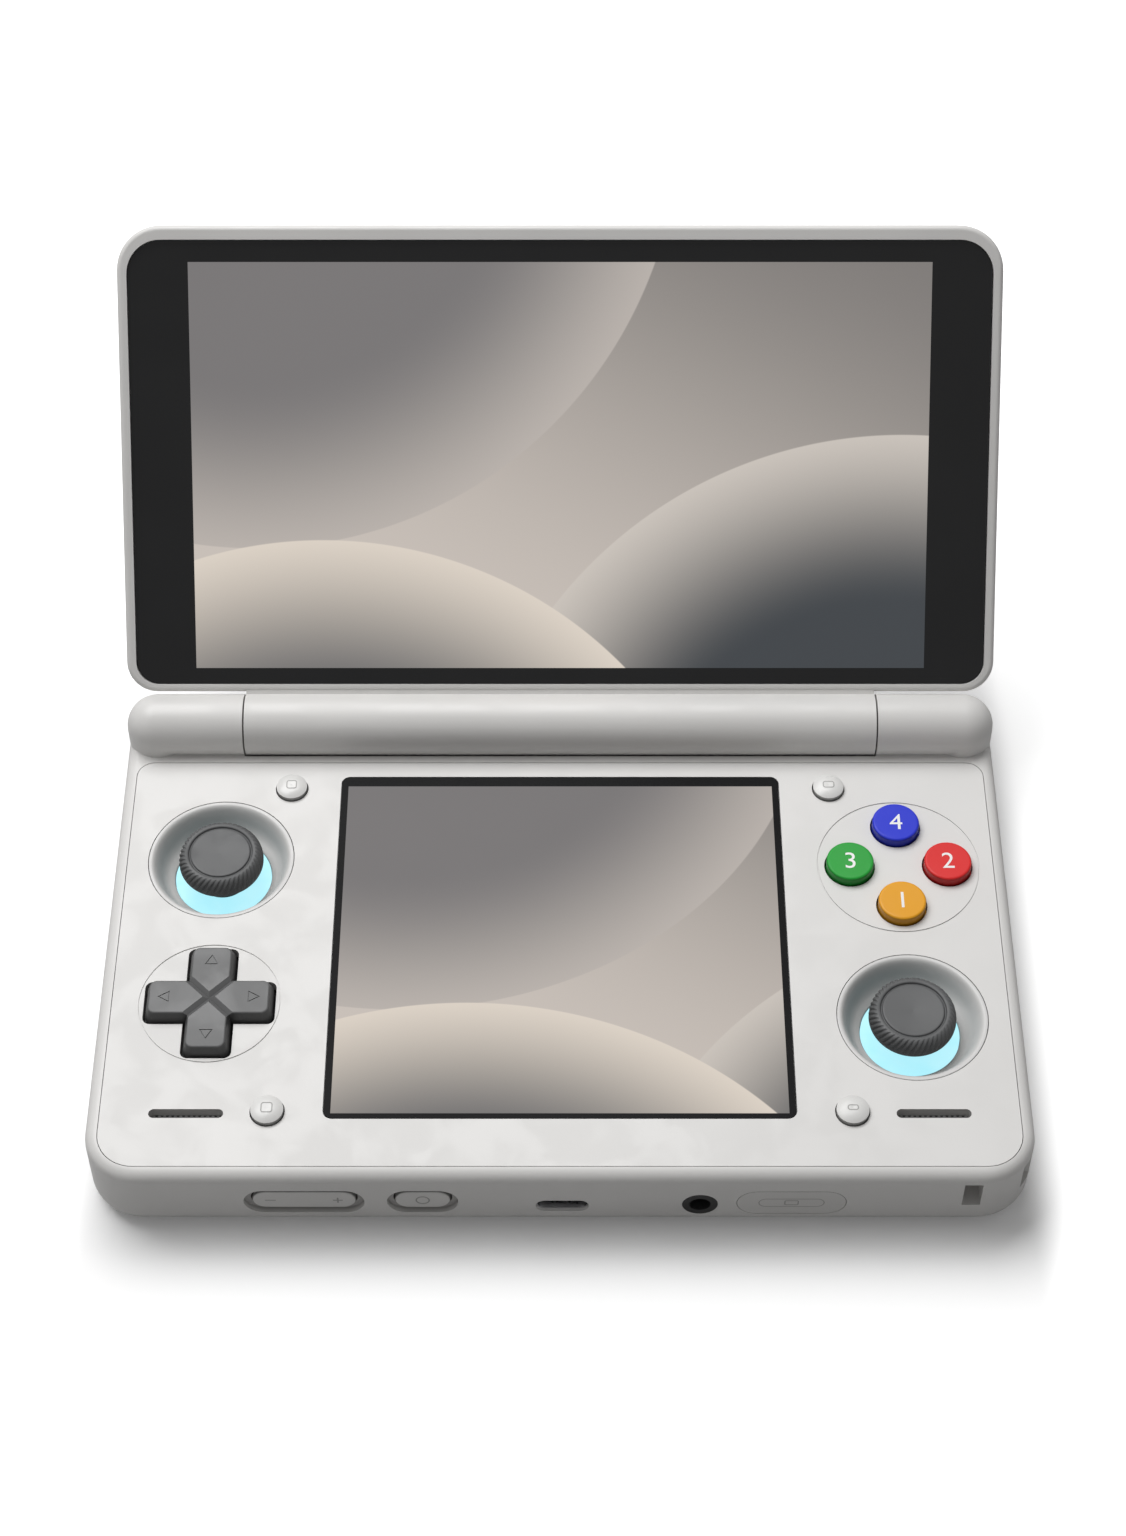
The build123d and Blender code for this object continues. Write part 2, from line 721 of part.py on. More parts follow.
with BuildPart() as usb_port:
    with BuildSketch(front_plane.offset(-usb_setback)):
        with Locations((usb_x, below(usb_drop))):
            SlotOverall(usb_width, usb_height)
            SlotOverall(usb_width - 2 * usb_wall, usb_height - 2 * usb_wall, mode=Mode.SUBTRACT)
    extrude(amount=-usb_length)
    with BuildSketch(front_plane.offset(-(usb_setback + usb_length - usb_back))):
        with Locations((usb_x, below(usb_drop))):
            SlotOverall(usb_width, usb_height)
    extrude(amount=-usb_back)
    with BuildSketch(front_plane.offset(-(usb_setback + usb_tongue_setback))):
        with Locations((usb_x, below(usb_drop))):
            Rectangle(usb_tongue_width, usb_tongue_height)
    extrude(amount=-(usb_length - usb_tongue_setback))
    with BuildSketch(Plane.XY.offset(board_top)):
        add(tabs(usb_x, usb_width - usb_foot_inset, usb_rear))
    extrude(amount=tab_thickness)

save(usb_port, "usb_port")

with BuildPart() as headphone_jack:
    with BuildSketch(front_plane):
        with Locations((jack_x, below(jack_drop))):
            Circle(jack_radius)
    extrude(amount=-(front_reach - jack_box_front + cut_over))
    with BuildSketch(front_plane.offset(-(front_reach - jack_box_front))):
        with Locations((jack_x, below(jack_drop))):
            Rectangle(jack_box_width, jack_box_height)
    extrude(amount=-jack_box_length)
    with BuildSketch(Plane.XY.offset(board_top)):
        add(tabs(jack_x, jack_box_width, jack_box_rear))
    extrude(amount=tab_thickness)
    with BuildSketch(front_plane):
        with Locations((jack_x, below(jack_drop))):
            Circle(jack_bore)
    extrude(amount=-jack_bore_length, mode=Mode.SUBTRACT)

save(headphone_jack, "headphone_jack")

with BuildPart() as card_reader:
    with BuildSketch(front_plane.offset(-(front_reach - reader_front))):
        with Locations((card_x, below(card_drop))):
            Rectangle(reader_width, reader_height)
    extrude(amount=-reader_length)
    with BuildSketch(Plane.XY.offset(board_top)):
        add(tabs(card_x, reader_width, reader_rear))
    extrude(amount=tab_thickness)
    with BuildSketch(front_plane.offset(-(front_reach - reader_front))):
        with Locations((card_x, below(card_drop))):
            Rectangle(reader_slot_width, reader_slot_height)
    extrude(amount=-reader_slot_length, mode=Mode.SUBTRACT)

save(card_reader, "card_reader")

# Sizes of the card door and the side keys
card_gap = 0.1
card_door_round = 0.25
key_setback = 0.3
key_play = 0.5  # wall to the front of a side key's flange
flange_thickness = 1.0
key_round = 0.35

with BuildPart() as card_door:
    with BuildSketch(front_plane):
        with Locations((card_x, below(card_drop))):
            SlotOverall(card_length - 2 * card_gap, card_height - 2 * card_gap)
    extrude(amount=-card_door_thickness)
    chamfer(card_door.edges().group_by(Axis.Y)[-1], card_door_round)

save(card_door, "card_door")

for node, key_x, key_length in (
    ("volume_rocker", volume_x, volume_length),
    ("power_button", power_x, power_length),
):
    with BuildPart() as side_key:
        with BuildSketch(front_plane.offset(-key_setback)):
            with Locations((key_x, below(volume_drop))):
                SlotOverall(key_length, key_height)
        extrude(amount=-(recess_depth + key_wall + key_play - key_setback))
        fillet(side_key.edges().group_by(Axis.Y)[0], key_round)
        with BuildSketch(front_plane.offset(-(recess_depth + key_wall + key_play))):
            with Locations((key_x, below(volume_drop))):
                SlotOverall(key_length + 2 * flange_margin, key_height + flange_margin)
        extrude(amount=-flange_thickness)
    save(side_key, node)

# Sizes of the switches on the main board
tact_width = 4.5
tact_height = 1.0
tact_plunger = 1.0
tact_plunger_height = 0.5
side_tact_width = 4.0
side_tact_length = 3.0
side_tact_height = 2.0
side_plunger_width = 1.6
side_plunger_height = 1.2
side_plunger_reach = 0.4
shoulder_plunger_reach = 0.25
volume_switch_offset = 5.5
shoulder_nub = 6.2  # rear face to the tip of the nub
shoulder_nub_width = 2.0
shoulder_nub_inset = 4.0  # outer end to the middle of the nub

with BuildPart() as tact_switches:
    for place in small_places.values():
        with BuildSketch(Plane(origin=(*spot(place), board_top))):
            Rectangle(tact_width, tact_width)
        extrude(amount=tact_height)
        with BuildSketch(Plane(origin=(*spot(place), board_top + tact_height))):
            Circle(tact_plunger)
        extrude(amount=tact_plunger_height)
    # Switches that face the keys in the front and the shoulders in the rear
    for x, edge, turn, reach in (
        (volume_x - volume_switch_offset, board_front, 1, side_plunger_reach),
        (volume_x + volume_switch_offset, board_front, 1, side_plunger_reach),
        (power_x, board_front, 1, side_plunger_reach),
        (bumper_end - shoulder_nub_inset, board_rear, -1, shoulder_plunger_reach),
        (trigger_end - shoulder_nub_inset, board_rear, -1, shoulder_plunger_reach),
        (shoulder_nub_inset - bumper_end, board_rear, -1, shoulder_plunger_reach),
        (shoulder_nub_inset - trigger_end, board_rear, -1, shoulder_plunger_reach),
    ):
        with BuildSketch(Plane.XY.offset(board_top)):
            with Locations((x, ahead(edge - turn * side_tact_length / 2))):
                Rectangle(side_tact_width, side_tact_length)
        extrude(amount=side_tact_height)
        with BuildSketch(Plane.XY.offset(board_top + (side_tact_height - side_plunger_height) / 2)):
            with Locations((x, ahead(edge))):
                Rectangle(side_plunger_width, 2 * reach)
        extrude(amount=side_plunger_height)

save(tact_switches, "tact_switches")

# Sizes of the speakers
speaker_width = 14.0
speaker_length = 8.0
speaker_top = 13.2
mesh_width = 13.5
mesh_length = 3.0

for node, side in (("left_speaker", -1), ("right_speaker", 1)):
    with BuildPart() as speaker:
        with BuildSketch(Plane.XY.offset(board_top)):
            with Locations((side * speaker_x, ahead(speaker_ahead))):
                RectangleRounded(speaker_width, speaker_length, speaker_slot_width)
        extrude(amount=speaker_top - board_top)
        with BuildSketch(Plane.XY.offset(speaker_top)):
            with Locations((side * speaker_x, ahead(speaker_ahead))):
                SlotOverall(speaker_slot_length, speaker_slot_width)
        extrude(amount=-speaker_slot_width, mode=Mode.SUBTRACT)
    save(speaker, node)

with BuildPart() as speaker_meshes:
    with BuildSketch(Plane.XY.offset(speaker_top)):
        with Locations(*[(side * speaker_x, ahead(speaker_ahead)) for side in (-1, 1)]):
            SlotOverall(mesh_width, mesh_length)
    extrude(amount=deck_z - deck_thickness - speaker_top)

save(speaker_meshes, "speaker_meshes")

# Sizes of a stick, with depths under the deck
bowl_lip = 12.35
bowl_foot = 8.6
bowl_foot_depth = 5.2
bowl_curve = 9.0
bowl_wall = 1.0
bezel_flange = 14.2
bezel_flange_thickness = 0.8
lip_round = 0.25
light_inner = 5.6
light_depth = 5.4
module_depth = 6.4
module_lid = 0.6
module_wall = 1.0
module_corner = 0.8
module_floor = 1.0
module_mouth = 5.0
pivot_depth = 8.8
yoke_half = 0.8
yoke_width = 9.6
yoke_length = 9.2
yoke_bar = 1.2
yoke_pin = 0.6
yoke_pin_reach = 8.2
block_radius = 3.0
block_half = 1.6
block_pin = 0.5
block_pin_reach = 4.3
stick_post_radius = 1.4
post_bottom = 10.2
post_top = 1.0
cap_radius = 7.5
cap_top = 2.2
cap_disc = 5.5
cap_dish = 0.35
cap_groove = 0.3
cap_side_high = 0.6
cap_side_low = -0.1
cap_rim_curve = 2.2
cap_under_radius = 6.3
cap_under = 1.2
neck_radius = 4.0
neck_start = 1.5
neck_end = 4.2
pivot_z = below(pivot_depth)


def make_stick(name, place):
    """One stick: its bowl, light ring, pivot box, yoke, pivot, post and cap."""
    foot_outer = bowl_foot + bowl_wall
    flange_low = deck_thickness + bezel_flange_thickness
    bezel_radius = well_radius - panel_gap
    with BuildPart() as bezel:
        with BuildSketch(upright(place)):
            with BuildLine():
                lip = Line((bezel_radius, 0), (bowl_lip, 0))
                bowl = RadiusArc(lip @ 1, (bowl_foot, -bowl_foot_depth), bowl_curve)
                Polyline(
                    bowl @ 1,
                    (bowl_foot, -module_depth),
                    (foot_outer, -module_depth),
                    (foot_outer, -bowl_foot_depth),
                    (bezel_radius, -flange_low),
                    (bezel_flange, -flange_low),
                    (bezel_flange, -deck_thickness),
                    (bezel_radius, -deck_thickness),
                    lip @ 0,
                )
            make_face()
        revolve(axis=spindle(place))
        fillet(bezel.edges().group_by(Axis.Z)[-1], lip_round)
    save(bezel, f"{name}_bezel")
    with BuildPart() as light_ring:
        with BuildSketch(level(place, light_depth)):
            Circle(bowl_foot - fit_gap)
            Circle(light_inner, mode=Mode.SUBTRACT)
        extrude(amount=-(module_depth - light_depth))
    save(light_ring, f"{name}_light_ring")
    with BuildPart() as module:
        with BuildSketch(level(place, module_depth)):
            RectangleRounded(module_width, module_width, module_corner)
        extrude(amount=-(below(module_depth) - cover_z))
        with BuildSketch(level(place, module_depth + module_lid)):
            Rectangle(module_width - 2 * module_wall, module_width - 2 * module_wall)
        extrude(amount=-(below(module_depth + module_lid) - cover_z - module_floor), mode=Mode.SUBTRACT)
        with BuildSketch(level(place, module_depth)):
            Circle(module_mouth)
        extrude(amount=-(module_lid + cut_over), mode=Mode.SUBTRACT)
        with BuildSketch(across(place[0] - module_width / 2)):
            with Locations((ahead(place[1]), pivot_z)):
                Circle(yoke_pin + fit_gap)
        extrude(amount=module_width, mode=Mode.SUBTRACT)
    save(module, f"{name}_module")
    with BuildPart() as yoke:
        with BuildSketch(level(place, pivot_depth + yoke_half)):
            Rectangle(yoke_width, yoke_length)
        extrude(amount=2 * yoke_half)
        with BuildSketch(across(place[0] - yoke_pin_reach)):
            with Locations((ahead(place[1]), pivot_z)):
                Circle(yoke_pin)
        extrude(amount=2 * yoke_pin_reach)
        with BuildSketch(level(place, pivot_depth + yoke_half)):
            Rectangle(yoke_width - 2 * yoke_bar, yoke_length - 2 * yoke_bar)
        extrude(amount=2 * yoke_half, mode=Mode.SUBTRACT)
        with BuildSketch(upright(place).offset(-yoke_length / 2)):
            with Locations((0, -pivot_depth)):
                Circle(block_pin + fit_gap)
        extrude(amount=yoke_length, mode=Mode.SUBTRACT)
    save(yoke, f"{name}_yoke")
    with BuildPart() as pivot:
        with BuildSketch(level(place, pivot_depth + block_half)):
            Circle(block_radius)
        extrude(amount=2 * block_half)
        with BuildSketch(upright(place).offset(-block_pin_reach)):
            with Locations((0, -pivot_depth)):
                Circle(block_pin)
        extrude(amount=2 * block_pin_reach)
        with BuildSketch(level(place, pivot_depth + block_half)):
            Circle(stick_post_radius + fit_gap)
        extrude(amount=2 * block_half, mode=Mode.SUBTRACT)
    save(pivot, f"{name}_pivot")
    with BuildPart() as post:
        with BuildSketch(level(place, post_bottom)):
            Circle(stick_post_radius)
        extrude(amount=post_bottom - post_top)
    save(post, f"{name}_post")
    bore = stick_post_radius + fit_gap
    with BuildPart() as cap:
        with BuildSketch(upright(place)):
            with BuildLine():
                Polyline(
                    (0, -post_top),
                    (0, cap_top - cap_dish),
                    (cap_disc, cap_top - cap_dish / 2),
                    (cap_disc, cap_top - cap_dish / 2 - cap_groove),
                    (cap_disc + cap_groove, cap_top - cap_dish / 2 - cap_groove),
                    (cap_disc + cap_groove, cap_top),
                )
                rim = RadiusArc((cap_disc + cap_groove, cap_top), (cap_radius, cap_side_high), cap_rim_curve)
                Polyline(
                    rim @ 1,
                    (cap_radius, cap_side_low),
                    (cap_under_radius, -cap_under),
                    (neck_radius, -neck_start),
                    (neck_radius, -neck_end),
                    (bore, -neck_end),
                    (bore, -post_top),
                    (0, -post_top),
                )
            make_face()
        revolve(axis=spindle(place))
    save(cap, f"{name}_cap")


for name, place in stick_places.items():
    make_stick(name, place)

# Sizes of the cross, with depths under the deck and heights above it
dpad_proud = 2.0
dpad_taper = 0.6
dpad_edge = 0.35
crease_half = 0.75
crease_depth = 0.6
mark_radius = 1.35
mark_line = 0.3
mark_depth = 0.15
mark_place = 7.4
cross_flange = 12.6
cross_flange_top = 3.4
cross_flange_bottom = 4.0
cross_pivot_depth = 5.4
lug_inner = 2.7
lug_outer = 3.9
lug_half = 1.3
cross_lug_bottom = 6.3
base_lug_top = 4.5
base_radius = 5.0
joint_base_thickness = 0.8
spider_half = 1.2
spider_half_height = 0.8
spider_pin = 0.6
dpad_place = (dpad_x, dpad_ahead)
diagonal = sqrt(2) / 2
arm_turns = [0, 90, 180, 270]
mark_corners = 3

with BuildPart() as dpad:
    with BuildSketch(level(dpad_place, cross_flange_bottom)):
        Circle(cross_flange)
    extrude(amount=cross_flange_bottom - cross_flange_top)
    with BuildSketch(level(dpad_place, cross_flange_top)):
        add(cross(dpad_span, dpad_arm, dpad_corner))
    extrude(amount=cross_flange_top)
    with BuildSketch(level(dpad_place, 0)):
        add(cross(dpad_span, dpad_arm, dpad_corner))
    with BuildSketch(level(dpad_place, -dpad_proud)):
        add(cross(dpad_span - 2 * dpad_taper, dpad_arm - 2 * dpad_taper, dpad_corner))
    loft()
    fillet(dpad.edges().group_by(Axis.Z)[-1], dpad_edge)
    # Creases along the two diagonals of the crossing
    for turn in (-1, 1):
        centre = (dpad_x, ahead(dpad_ahead), below(-dpad_proud))
        along = (-turn * diagonal, diagonal, 0)
        crease = Plane(origin=centre, x_dir=along, z_dir=(diagonal, turn * diagonal, 0))
        with BuildSketch(crease):
            with BuildLine():
                Polyline((-crease_half, 0), (crease_half, 0), (0, -crease_depth), close=True)
            make_face()
        extrude(amount=dpad_arm, both=True, mode=Mode.SUBTRACT)
    # An outlined arrowhead on each arm
    for turn in arm_turns:
        arm_plane = level(dpad_place, -dpad_proud).rotated((0, 0, turn))
        with BuildSketch(arm_plane):
            with Locations((mark_place, 0)):
                RegularPolygon(mark_radius, mark_corners)
                RegularPolygon(mark_radius - mark_line, mark_corners, mode=Mode.SUBTRACT)
        extrude(amount=-mark_depth, mode=Mode.SUBTRACT)
    # Lugs that hold the spider's front and rear pins
    for side in (-1, 1):
        with BuildSketch(level(dpad_place, cross_lug_bottom)):
            with Locations((0, side * (lug_inner + lug_outer) / 2)):
                Rectangle(2 * lug_half, lug_outer - lug_inner)
        extrude(amount=cross_lug_bottom - cross_flange_bottom)
    with BuildSketch(upright(dpad_place).offset(-lug_outer)):
        with Locations((0, -cross_pivot_depth)):
            Circle(spider_pin + fit_gap)
    extrude(amount=2 * lug_outer, mode=Mode.SUBTRACT)

save(dpad, "dpad")

with BuildPart() as dpad_spider:
    with BuildSketch(level(dpad_place, cross_pivot_depth + spider_half_height)):
        Rectangle(2 * spider_half, 2 * spider_half)
    extrude(amount=2 * spider_half_height)
    with BuildSketch(upright(dpad_place).offset(-lug_outer)):
        with Locations((0, -cross_pivot_depth)):
            Circle(spider_pin)
    extrude(amount=2 * lug_outer)
    with BuildSketch(across(dpad_x - lug_outer)):
        with Locations((ahead(dpad_ahead), below(cross_pivot_depth))):
            Circle(spider_pin)
    extrude(amount=2 * lug_outer)

save(dpad_spider, "dpad_spider")

with BuildPart() as dpad_base:
    with BuildSketch(Plane(origin=(*spot(dpad_place), board_top))):
        Circle(base_radius)
    extrude(amount=joint_base_thickness)
    for side in (-1, 1):
        with BuildSketch(level(dpad_place, base_lug_top)):
            with Locations((side * (lug_inner + lug_outer) / 2, 0)):
                Rectangle(lug_outer - lug_inner, 2 * lug_half)
        extrude(amount=-(below(base_lug_top) - board_top))
    with BuildSketch(across(dpad_x - lug_outer)):
        with Locations((ahead(dpad_ahead), below(cross_pivot_depth))):
            Circle(spider_pin + fit_gap)
    extrude(amount=2 * lug_outer, mode=Mode.SUBTRACT)

save(dpad_base, "dpad_base")

# Sizes of the rubber membranes and the buttons over them
membrane_thickness = 0.8
cross_membrane_radius = 12.8
cross_dome_place = 8.3
cross_dome_radius = 2.2
cross_dome_top = 5.1
face_membrane_radius = 14.0
face_dome_radius = 3.2
face_dome_top = 4.2
dome_taper = 10.0
face_radius = 4.2
face_proud = 1.8
face_edge = 0.45
face_flange = 5.0
face_flange_top = 2.1
face_flange_bottom = 2.8
small_radius = 2.75
small_side = 0.75
small_proud = 1.3
small_flange = 3.6
small_flange_top = 2.05
small_flange_bottom = 2.65
small_stem = 1.2
small_stem_bottom = 5.7


def domes(places, radius, top):
    """Adds tapered rubber domes that stand on the board and end so far under the deck."""
    with BuildPart() as group:
        for place in places:
            with BuildSketch(Plane(origin=(*spot(place), board_top))):
                Circle(radius)
            extrude(amount=below(top) - board_top, taper=dome_taper)
    return group.part


with BuildPart() as dpad_membrane:
    with BuildSketch(Plane(origin=(*spot(dpad_place), board_top))):
        Circle(cross_membrane_radius)
        Circle(base_radius + button_gap, mode=Mode.SUBTRACT)
    extrude(amount=membrane_thickness)
    add(
        domes(
            [
                (dpad_x - cross_dome_place, dpad_ahead),
                (dpad_x + cross_dome_place, dpad_ahead),
                (dpad_x, dpad_ahead - cross_dome_place),
                (dpad_x, dpad_ahead + cross_dome_place),
            ],
            cross_dome_radius,
            cross_dome_top,
        )
    )

save(dpad_membrane, "dpad_membrane")

with BuildPart() as face_membrane:
    with BuildSketch(Plane(origin=(buttons_x, ahead(buttons_ahead), board_top))):
        Circle(face_membrane_radius)
    extrude(amount=membrane_thickness)
    add(domes(face_places.values(), face_dome_radius, face_dome_top))

save(face_membrane, "face_membrane")

for node, place in face_places.items():
    with BuildPart() as button:
        with BuildSketch(level(place, face_flange_bottom)):
            Circle(face_flange)
        extrude(amount=face_flange_bottom - face_flange_top)
        with BuildSketch(level(place, face_flange_top)):
            Circle(face_radius)
        extrude(amount=face_flange_top + face_proud)
        fillet(button.edges().group_by(Axis.Z)[-1], face_edge)
    save(button, node)

for node, place in small_places.items():
    with BuildPart() as button:
        with BuildSketch(upright(place)):
            with BuildLine():
                dome = ThreePointArc(
                    (0, small_proud),
                    (small_radius * diagonal, small_side + (small_proud - small_side) * diagonal),
                    (small_radius, small_side),
                )
                Polyline(
                    dome @ 1,
                    (small_radius, -small_flange_top),
                    (small_flange, -small_flange_top),
                    (small_flange, -small_flange_bottom),
                    (small_stem, -small_flange_bottom),
                    (small_stem, -small_stem_bottom),
                    (0, -small_stem_bottom),
                    dome @ 0,
                )
            make_face()
        revolve(axis=spindle(place))
    save(button, node)

# Sizes of the bumpers and triggers, with distances in from the rear face
shoulder_hub = 1.6
shoulder_lip = 1.2
shoulder_lip_inset = 2.4
shoulder_edge = 0.8

for name, start, end, proud in (
    ("bumper", bumper_start, bumper_end, bumper_proud),
    ("trigger", trigger_start, trigger_end, trigger_proud),
):
    for hand, side in (("left", -1), ("right", 1)):
        with BuildPart() as shoulder:
            plate_start = start - shoulder_inner
            with BuildSketch(Plane.XY.offset(shoulder_low)):
                with Locations((side * (plate_start + end) / 2, rear_y + (proud - shoulder_lip_inset) / 2)):
                    Rectangle(end - plate_start, proud + shoulder_lip_inset)
            extrude(amount=shoulder_height)
            rear_face = shoulder.faces().sort_by(Axis.Y)[-1]
            fillet(rear_face.edges(), shoulder_edge)
            with BuildSketch(Plane.XY.offset(shoulder_low)):
                with Locations((side * start, shoulder_pivot_y)):
                    Circle(shoulder_hub)
                with Locations((side * start, (shoulder_pivot_y + rear_y) / 2)):
                    Rectangle(2 * shoulder_inner, rear_y - shoulder_pivot_y)
                with Locations((side * (end - shoulder_nub_inset), rear_y - shoulder_nub / 2)):
                    Rectangle(shoulder_nub_width, shoulder_nub)
                with Locations((side * end, rear_y - shoulder_lip_inset - shoulder_lip / 2)):
                    Rectangle(2 * shoulder_lip, shoulder_lip)
            extrude(amount=shoulder_height)
            with BuildSketch(Plane.XY.offset(cover_z + cover_thickness - shoulder_pin_reach)):
                with Locations((side * start, shoulder_pivot_y)):
                    Circle(shoulder_pin)
            extrude(amount=chamber_top - cover_z - cover_thickness + 2 * shoulder_pin_reach)
        save(shoulder, f"{hand}_{name}")

# Friction hinges: a cartridge in each knuckle and a pin in each end of the barrel
with BuildPart() as hinge_cartridges:
    for side in (-1, 1):
        with BuildSketch(across(side * cartridge_start)):
            with Locations((hinge_y, hinge_z)):
                Circle(cartridge_radius)
                Circle(pin_radius + fit_gap, mode=Mode.SUBTRACT)
        extrude(amount=side * cartridge_length)

save(hinge_cartridges, "hinge_cartridges")

with BuildPart() as hinge_pins:
    for side in (-1, 1):
        with BuildSketch(across(side * pin_inner)):
            with Locations((hinge_y, hinge_z)):
                Circle(pin_radius)
        extrude(amount=side * pin_length)

save(hinge_pins, "hinge_pins")

# Sizes of the lid, with distances up from the hinge axis and heights out of the glass
lid_near = 6.0
lid_near_corner = 5.5
lid_far_corner = 8.0
rim_setback = 0.25
rim_edge_round = 0.9
upper_glass_border = 1.9
upper_glass_far_border = 2.61
upper_glass_width = body_width - 2 * upper_glass_border
upper_glass_near = 7.47
upper_glass_far = lid_reach - upper_glass_far_border
upper_glass_near_corner = 4.0
upper_glass_far_corner = 6.0
upper_glass_thickness = 1.0
lid_ledge = 1.5
lid_wall = 1.5
neck_high = 0.4
neck_low = 5.0
neck_far = 6.3
flex_slot_width = 13.0
flex_slot_high = 2.2
flex_slot_low = 4.1
display_side_margin = 9.8  # edges of the upper glass to the display behind it
display_near_margin = 1.83
display_far_margin = 2.79
upper_display_width = upper_glass_width - 2 * display_side_margin
upper_display_near = upper_glass_near + display_near_margin
upper_display_far = upper_glass_far - display_far_margin
upper_display_thickness = 1.2
lid_board_width = 60.0
lid_board_near = 12.0
lid_board_far = 40.0
lid_board_corner = 2.0
lid_board_thickness = 0.8
boss_height = 0.95
boss_radius = 1.8
boss_x = 26.0
boss_places = [15.5, 36.5]
flex_width = 12.0
flex_thickness = 0.3
flex_outer = 2.8
flex_top = flex_outer - flex_thickness
flex_reach = 17.0
flex_drop = 2.0
flex_path_shares = [(0, 0), (0.176, 0), (0.353, 0.5), (0.67, 0.5), (0.765, 1), (1, 1)]
glass_bottom = glass_setback + upper_glass_thickness
lid_floor = lid_back - lid_wall
upper_pocket = (
    upper_glass_width + 2 * panel_gap,
    upper_glass_near - panel_gap,
    upper_glass_far + panel_gap,
    upper_glass_near_corner + panel_gap,
    upper_glass_far_corner + panel_gap,
)
lid_axis = Axis(lid_plane.origin, lid_plane.z_dir)
lid_side_plane = Plane(origin=lid_plane.origin, x_dir=lid_plane.y_dir, z_dir=(1, 0, 0))

with BuildPart() as lid_shell:
    with BuildSketch(lid_plane.offset(-lid_back)):
        add(panel(body_width, lid_near, lid_reach, lid_near_corner, lid_far_corner))
    extrude(amount=lid_back - rim_setback)
    fillet(lid_shell.edges().group_by(lid_axis)[0], lid_back_round)
    fillet(lid_shell.edges().group_by(lid_axis)[-1], rim_edge_round)
    # Barrel round the hinge axis and the neck that joins it to the lid
    with BuildSketch(across(-barrel_end)):
        with Locations((hinge_y, hinge_z)):
            Circle(knuckle_radius)
    extrude(amount=2 * barrel_end)
    with BuildSketch(lid_plane.offset(-neck_low)):
        with Locations((0, neck_far / 2)):
            Rectangle(2 * barrel_end, neck_far)
    extrude(amount=neck_low - neck_high)
    # Pocket of the glass and the hollow behind it
    with BuildSketch(lid_plane.offset(-rim_setback)):
        add(panel(*upper_pocket))
    extrude(amount=-(glass_bottom - rim_setback), mode=Mode.SUBTRACT)
    with BuildSketch(lid_plane.offset(-glass_bottom)):
        add(
            panel(
                upper_glass_width - 2 * lid_ledge,
                upper_glass_near + lid_ledge,
                upper_glass_far - lid_ledge,
                upper_glass_near_corner - lid_ledge,
                upper_glass_far_corner - lid_ledge,
            )
        )
    extrude(amount=-(lid_floor - glass_bottom), mode=Mode.SUBTRACT)
    with BuildSketch(lid_plane.offset(-lid_floor)):
        with Locations(*[(side * boss_x, place) for side in (-1, 1) for place in boss_places]):
            Circle(boss_radius)
    extrude(amount=boss_height)
    # Bore of the barrel, its pin holes and the slot for the flexible strip
    with BuildSketch(across(-barrel_end)):
        with Locations((hinge_y, hinge_z)):
            Circle(pin_radius + fit_gap)
    extrude(amount=2 * barrel_end, mode=Mode.SUBTRACT)
    with BuildSketch(across(-barrel_bore_length / 2)):
        with Locations((hinge_y, hinge_z)):
            Circle(barrel_bore)
    extrude(amount=barrel_bore_length, mode=Mode.SUBTRACT)
    with BuildSketch(lid_plane.offset(-flex_slot_low)):
        with Locations((0, (upper_glass_near + lid_ledge + cut_over) / 2)):
            Rectangle(flex_slot_width, upper_glass_near + lid_ledge + cut_over)
    extrude(amount=flex_slot_low - flex_slot_high, mode=Mode.SUBTRACT)

save(lid_shell, "lid_shell")

with BuildPart() as upper_glass:
    with BuildSketch(lid_plane.offset(-glass_setback)):
        add(
            panel(
                upper_glass_width,
                upper_glass_near,
                upper_glass_far,
                upper_glass_near_corner,
                upper_glass_far_corner,
            )
        )
    extrude(amount=-upper_glass_thickness)

save(upper_glass, "upper_glass")

with BuildPart() as upper_display:
    with BuildSketch(lid_plane.offset(-glass_bottom)):
        add(panel(upper_display_width, upper_display_near, upper_display_far, window_corner, window_corner))
    extrude(amount=-upper_display_thickness)

save(upper_display, "upper_display")

with BuildPart() as lid_board:
    with BuildSketch(lid_plane.offset(-lid_floor + boss_height)):
        add(panel(lid_board_width, lid_board_near, lid_board_far, lid_board_corner, lid_board_corner))
    extrude(amount=lid_board_thickness)

save(lid_board, "lid_board")

with BuildPart() as hinge_flex:
    with BuildSketch(lid_side_plane.offset(-flex_width / 2)):
        Circle(flex_outer)
        Circle(flex_outer - flex_thickness, mode=Mode.SUBTRACT)
    extrude(amount=flex_width)
    with BuildSketch(lid_side_plane.offset(-flex_width / 2)):
        with BuildLine():
            flex_points = [
                (flex_reach * along, -flex_top - flex_drop * down)
                for along, down in flex_path_shares
            ]
            upper = Polyline(*flex_points)
            lower = Polyline(*[(along, height - flex_thickness) for along, height in flex_points])
            Line(upper @ 0, lower @ 0)
            Line(upper @ 1, lower @ 1)
        make_face()
    extrude(amount=flex_width)

save(hinge_flex, "hinge_flex")
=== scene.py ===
# %% [markdown]
# A clamshell game console, open on a white table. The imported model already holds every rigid
# piece at its real size, so this script gives those pieces their finish, adds the fine shapes
# that are too small for the construction, and lights the whole as a product photograph.

# %% Load the fixed frame
import json
from math import cos, pi, radians, sin

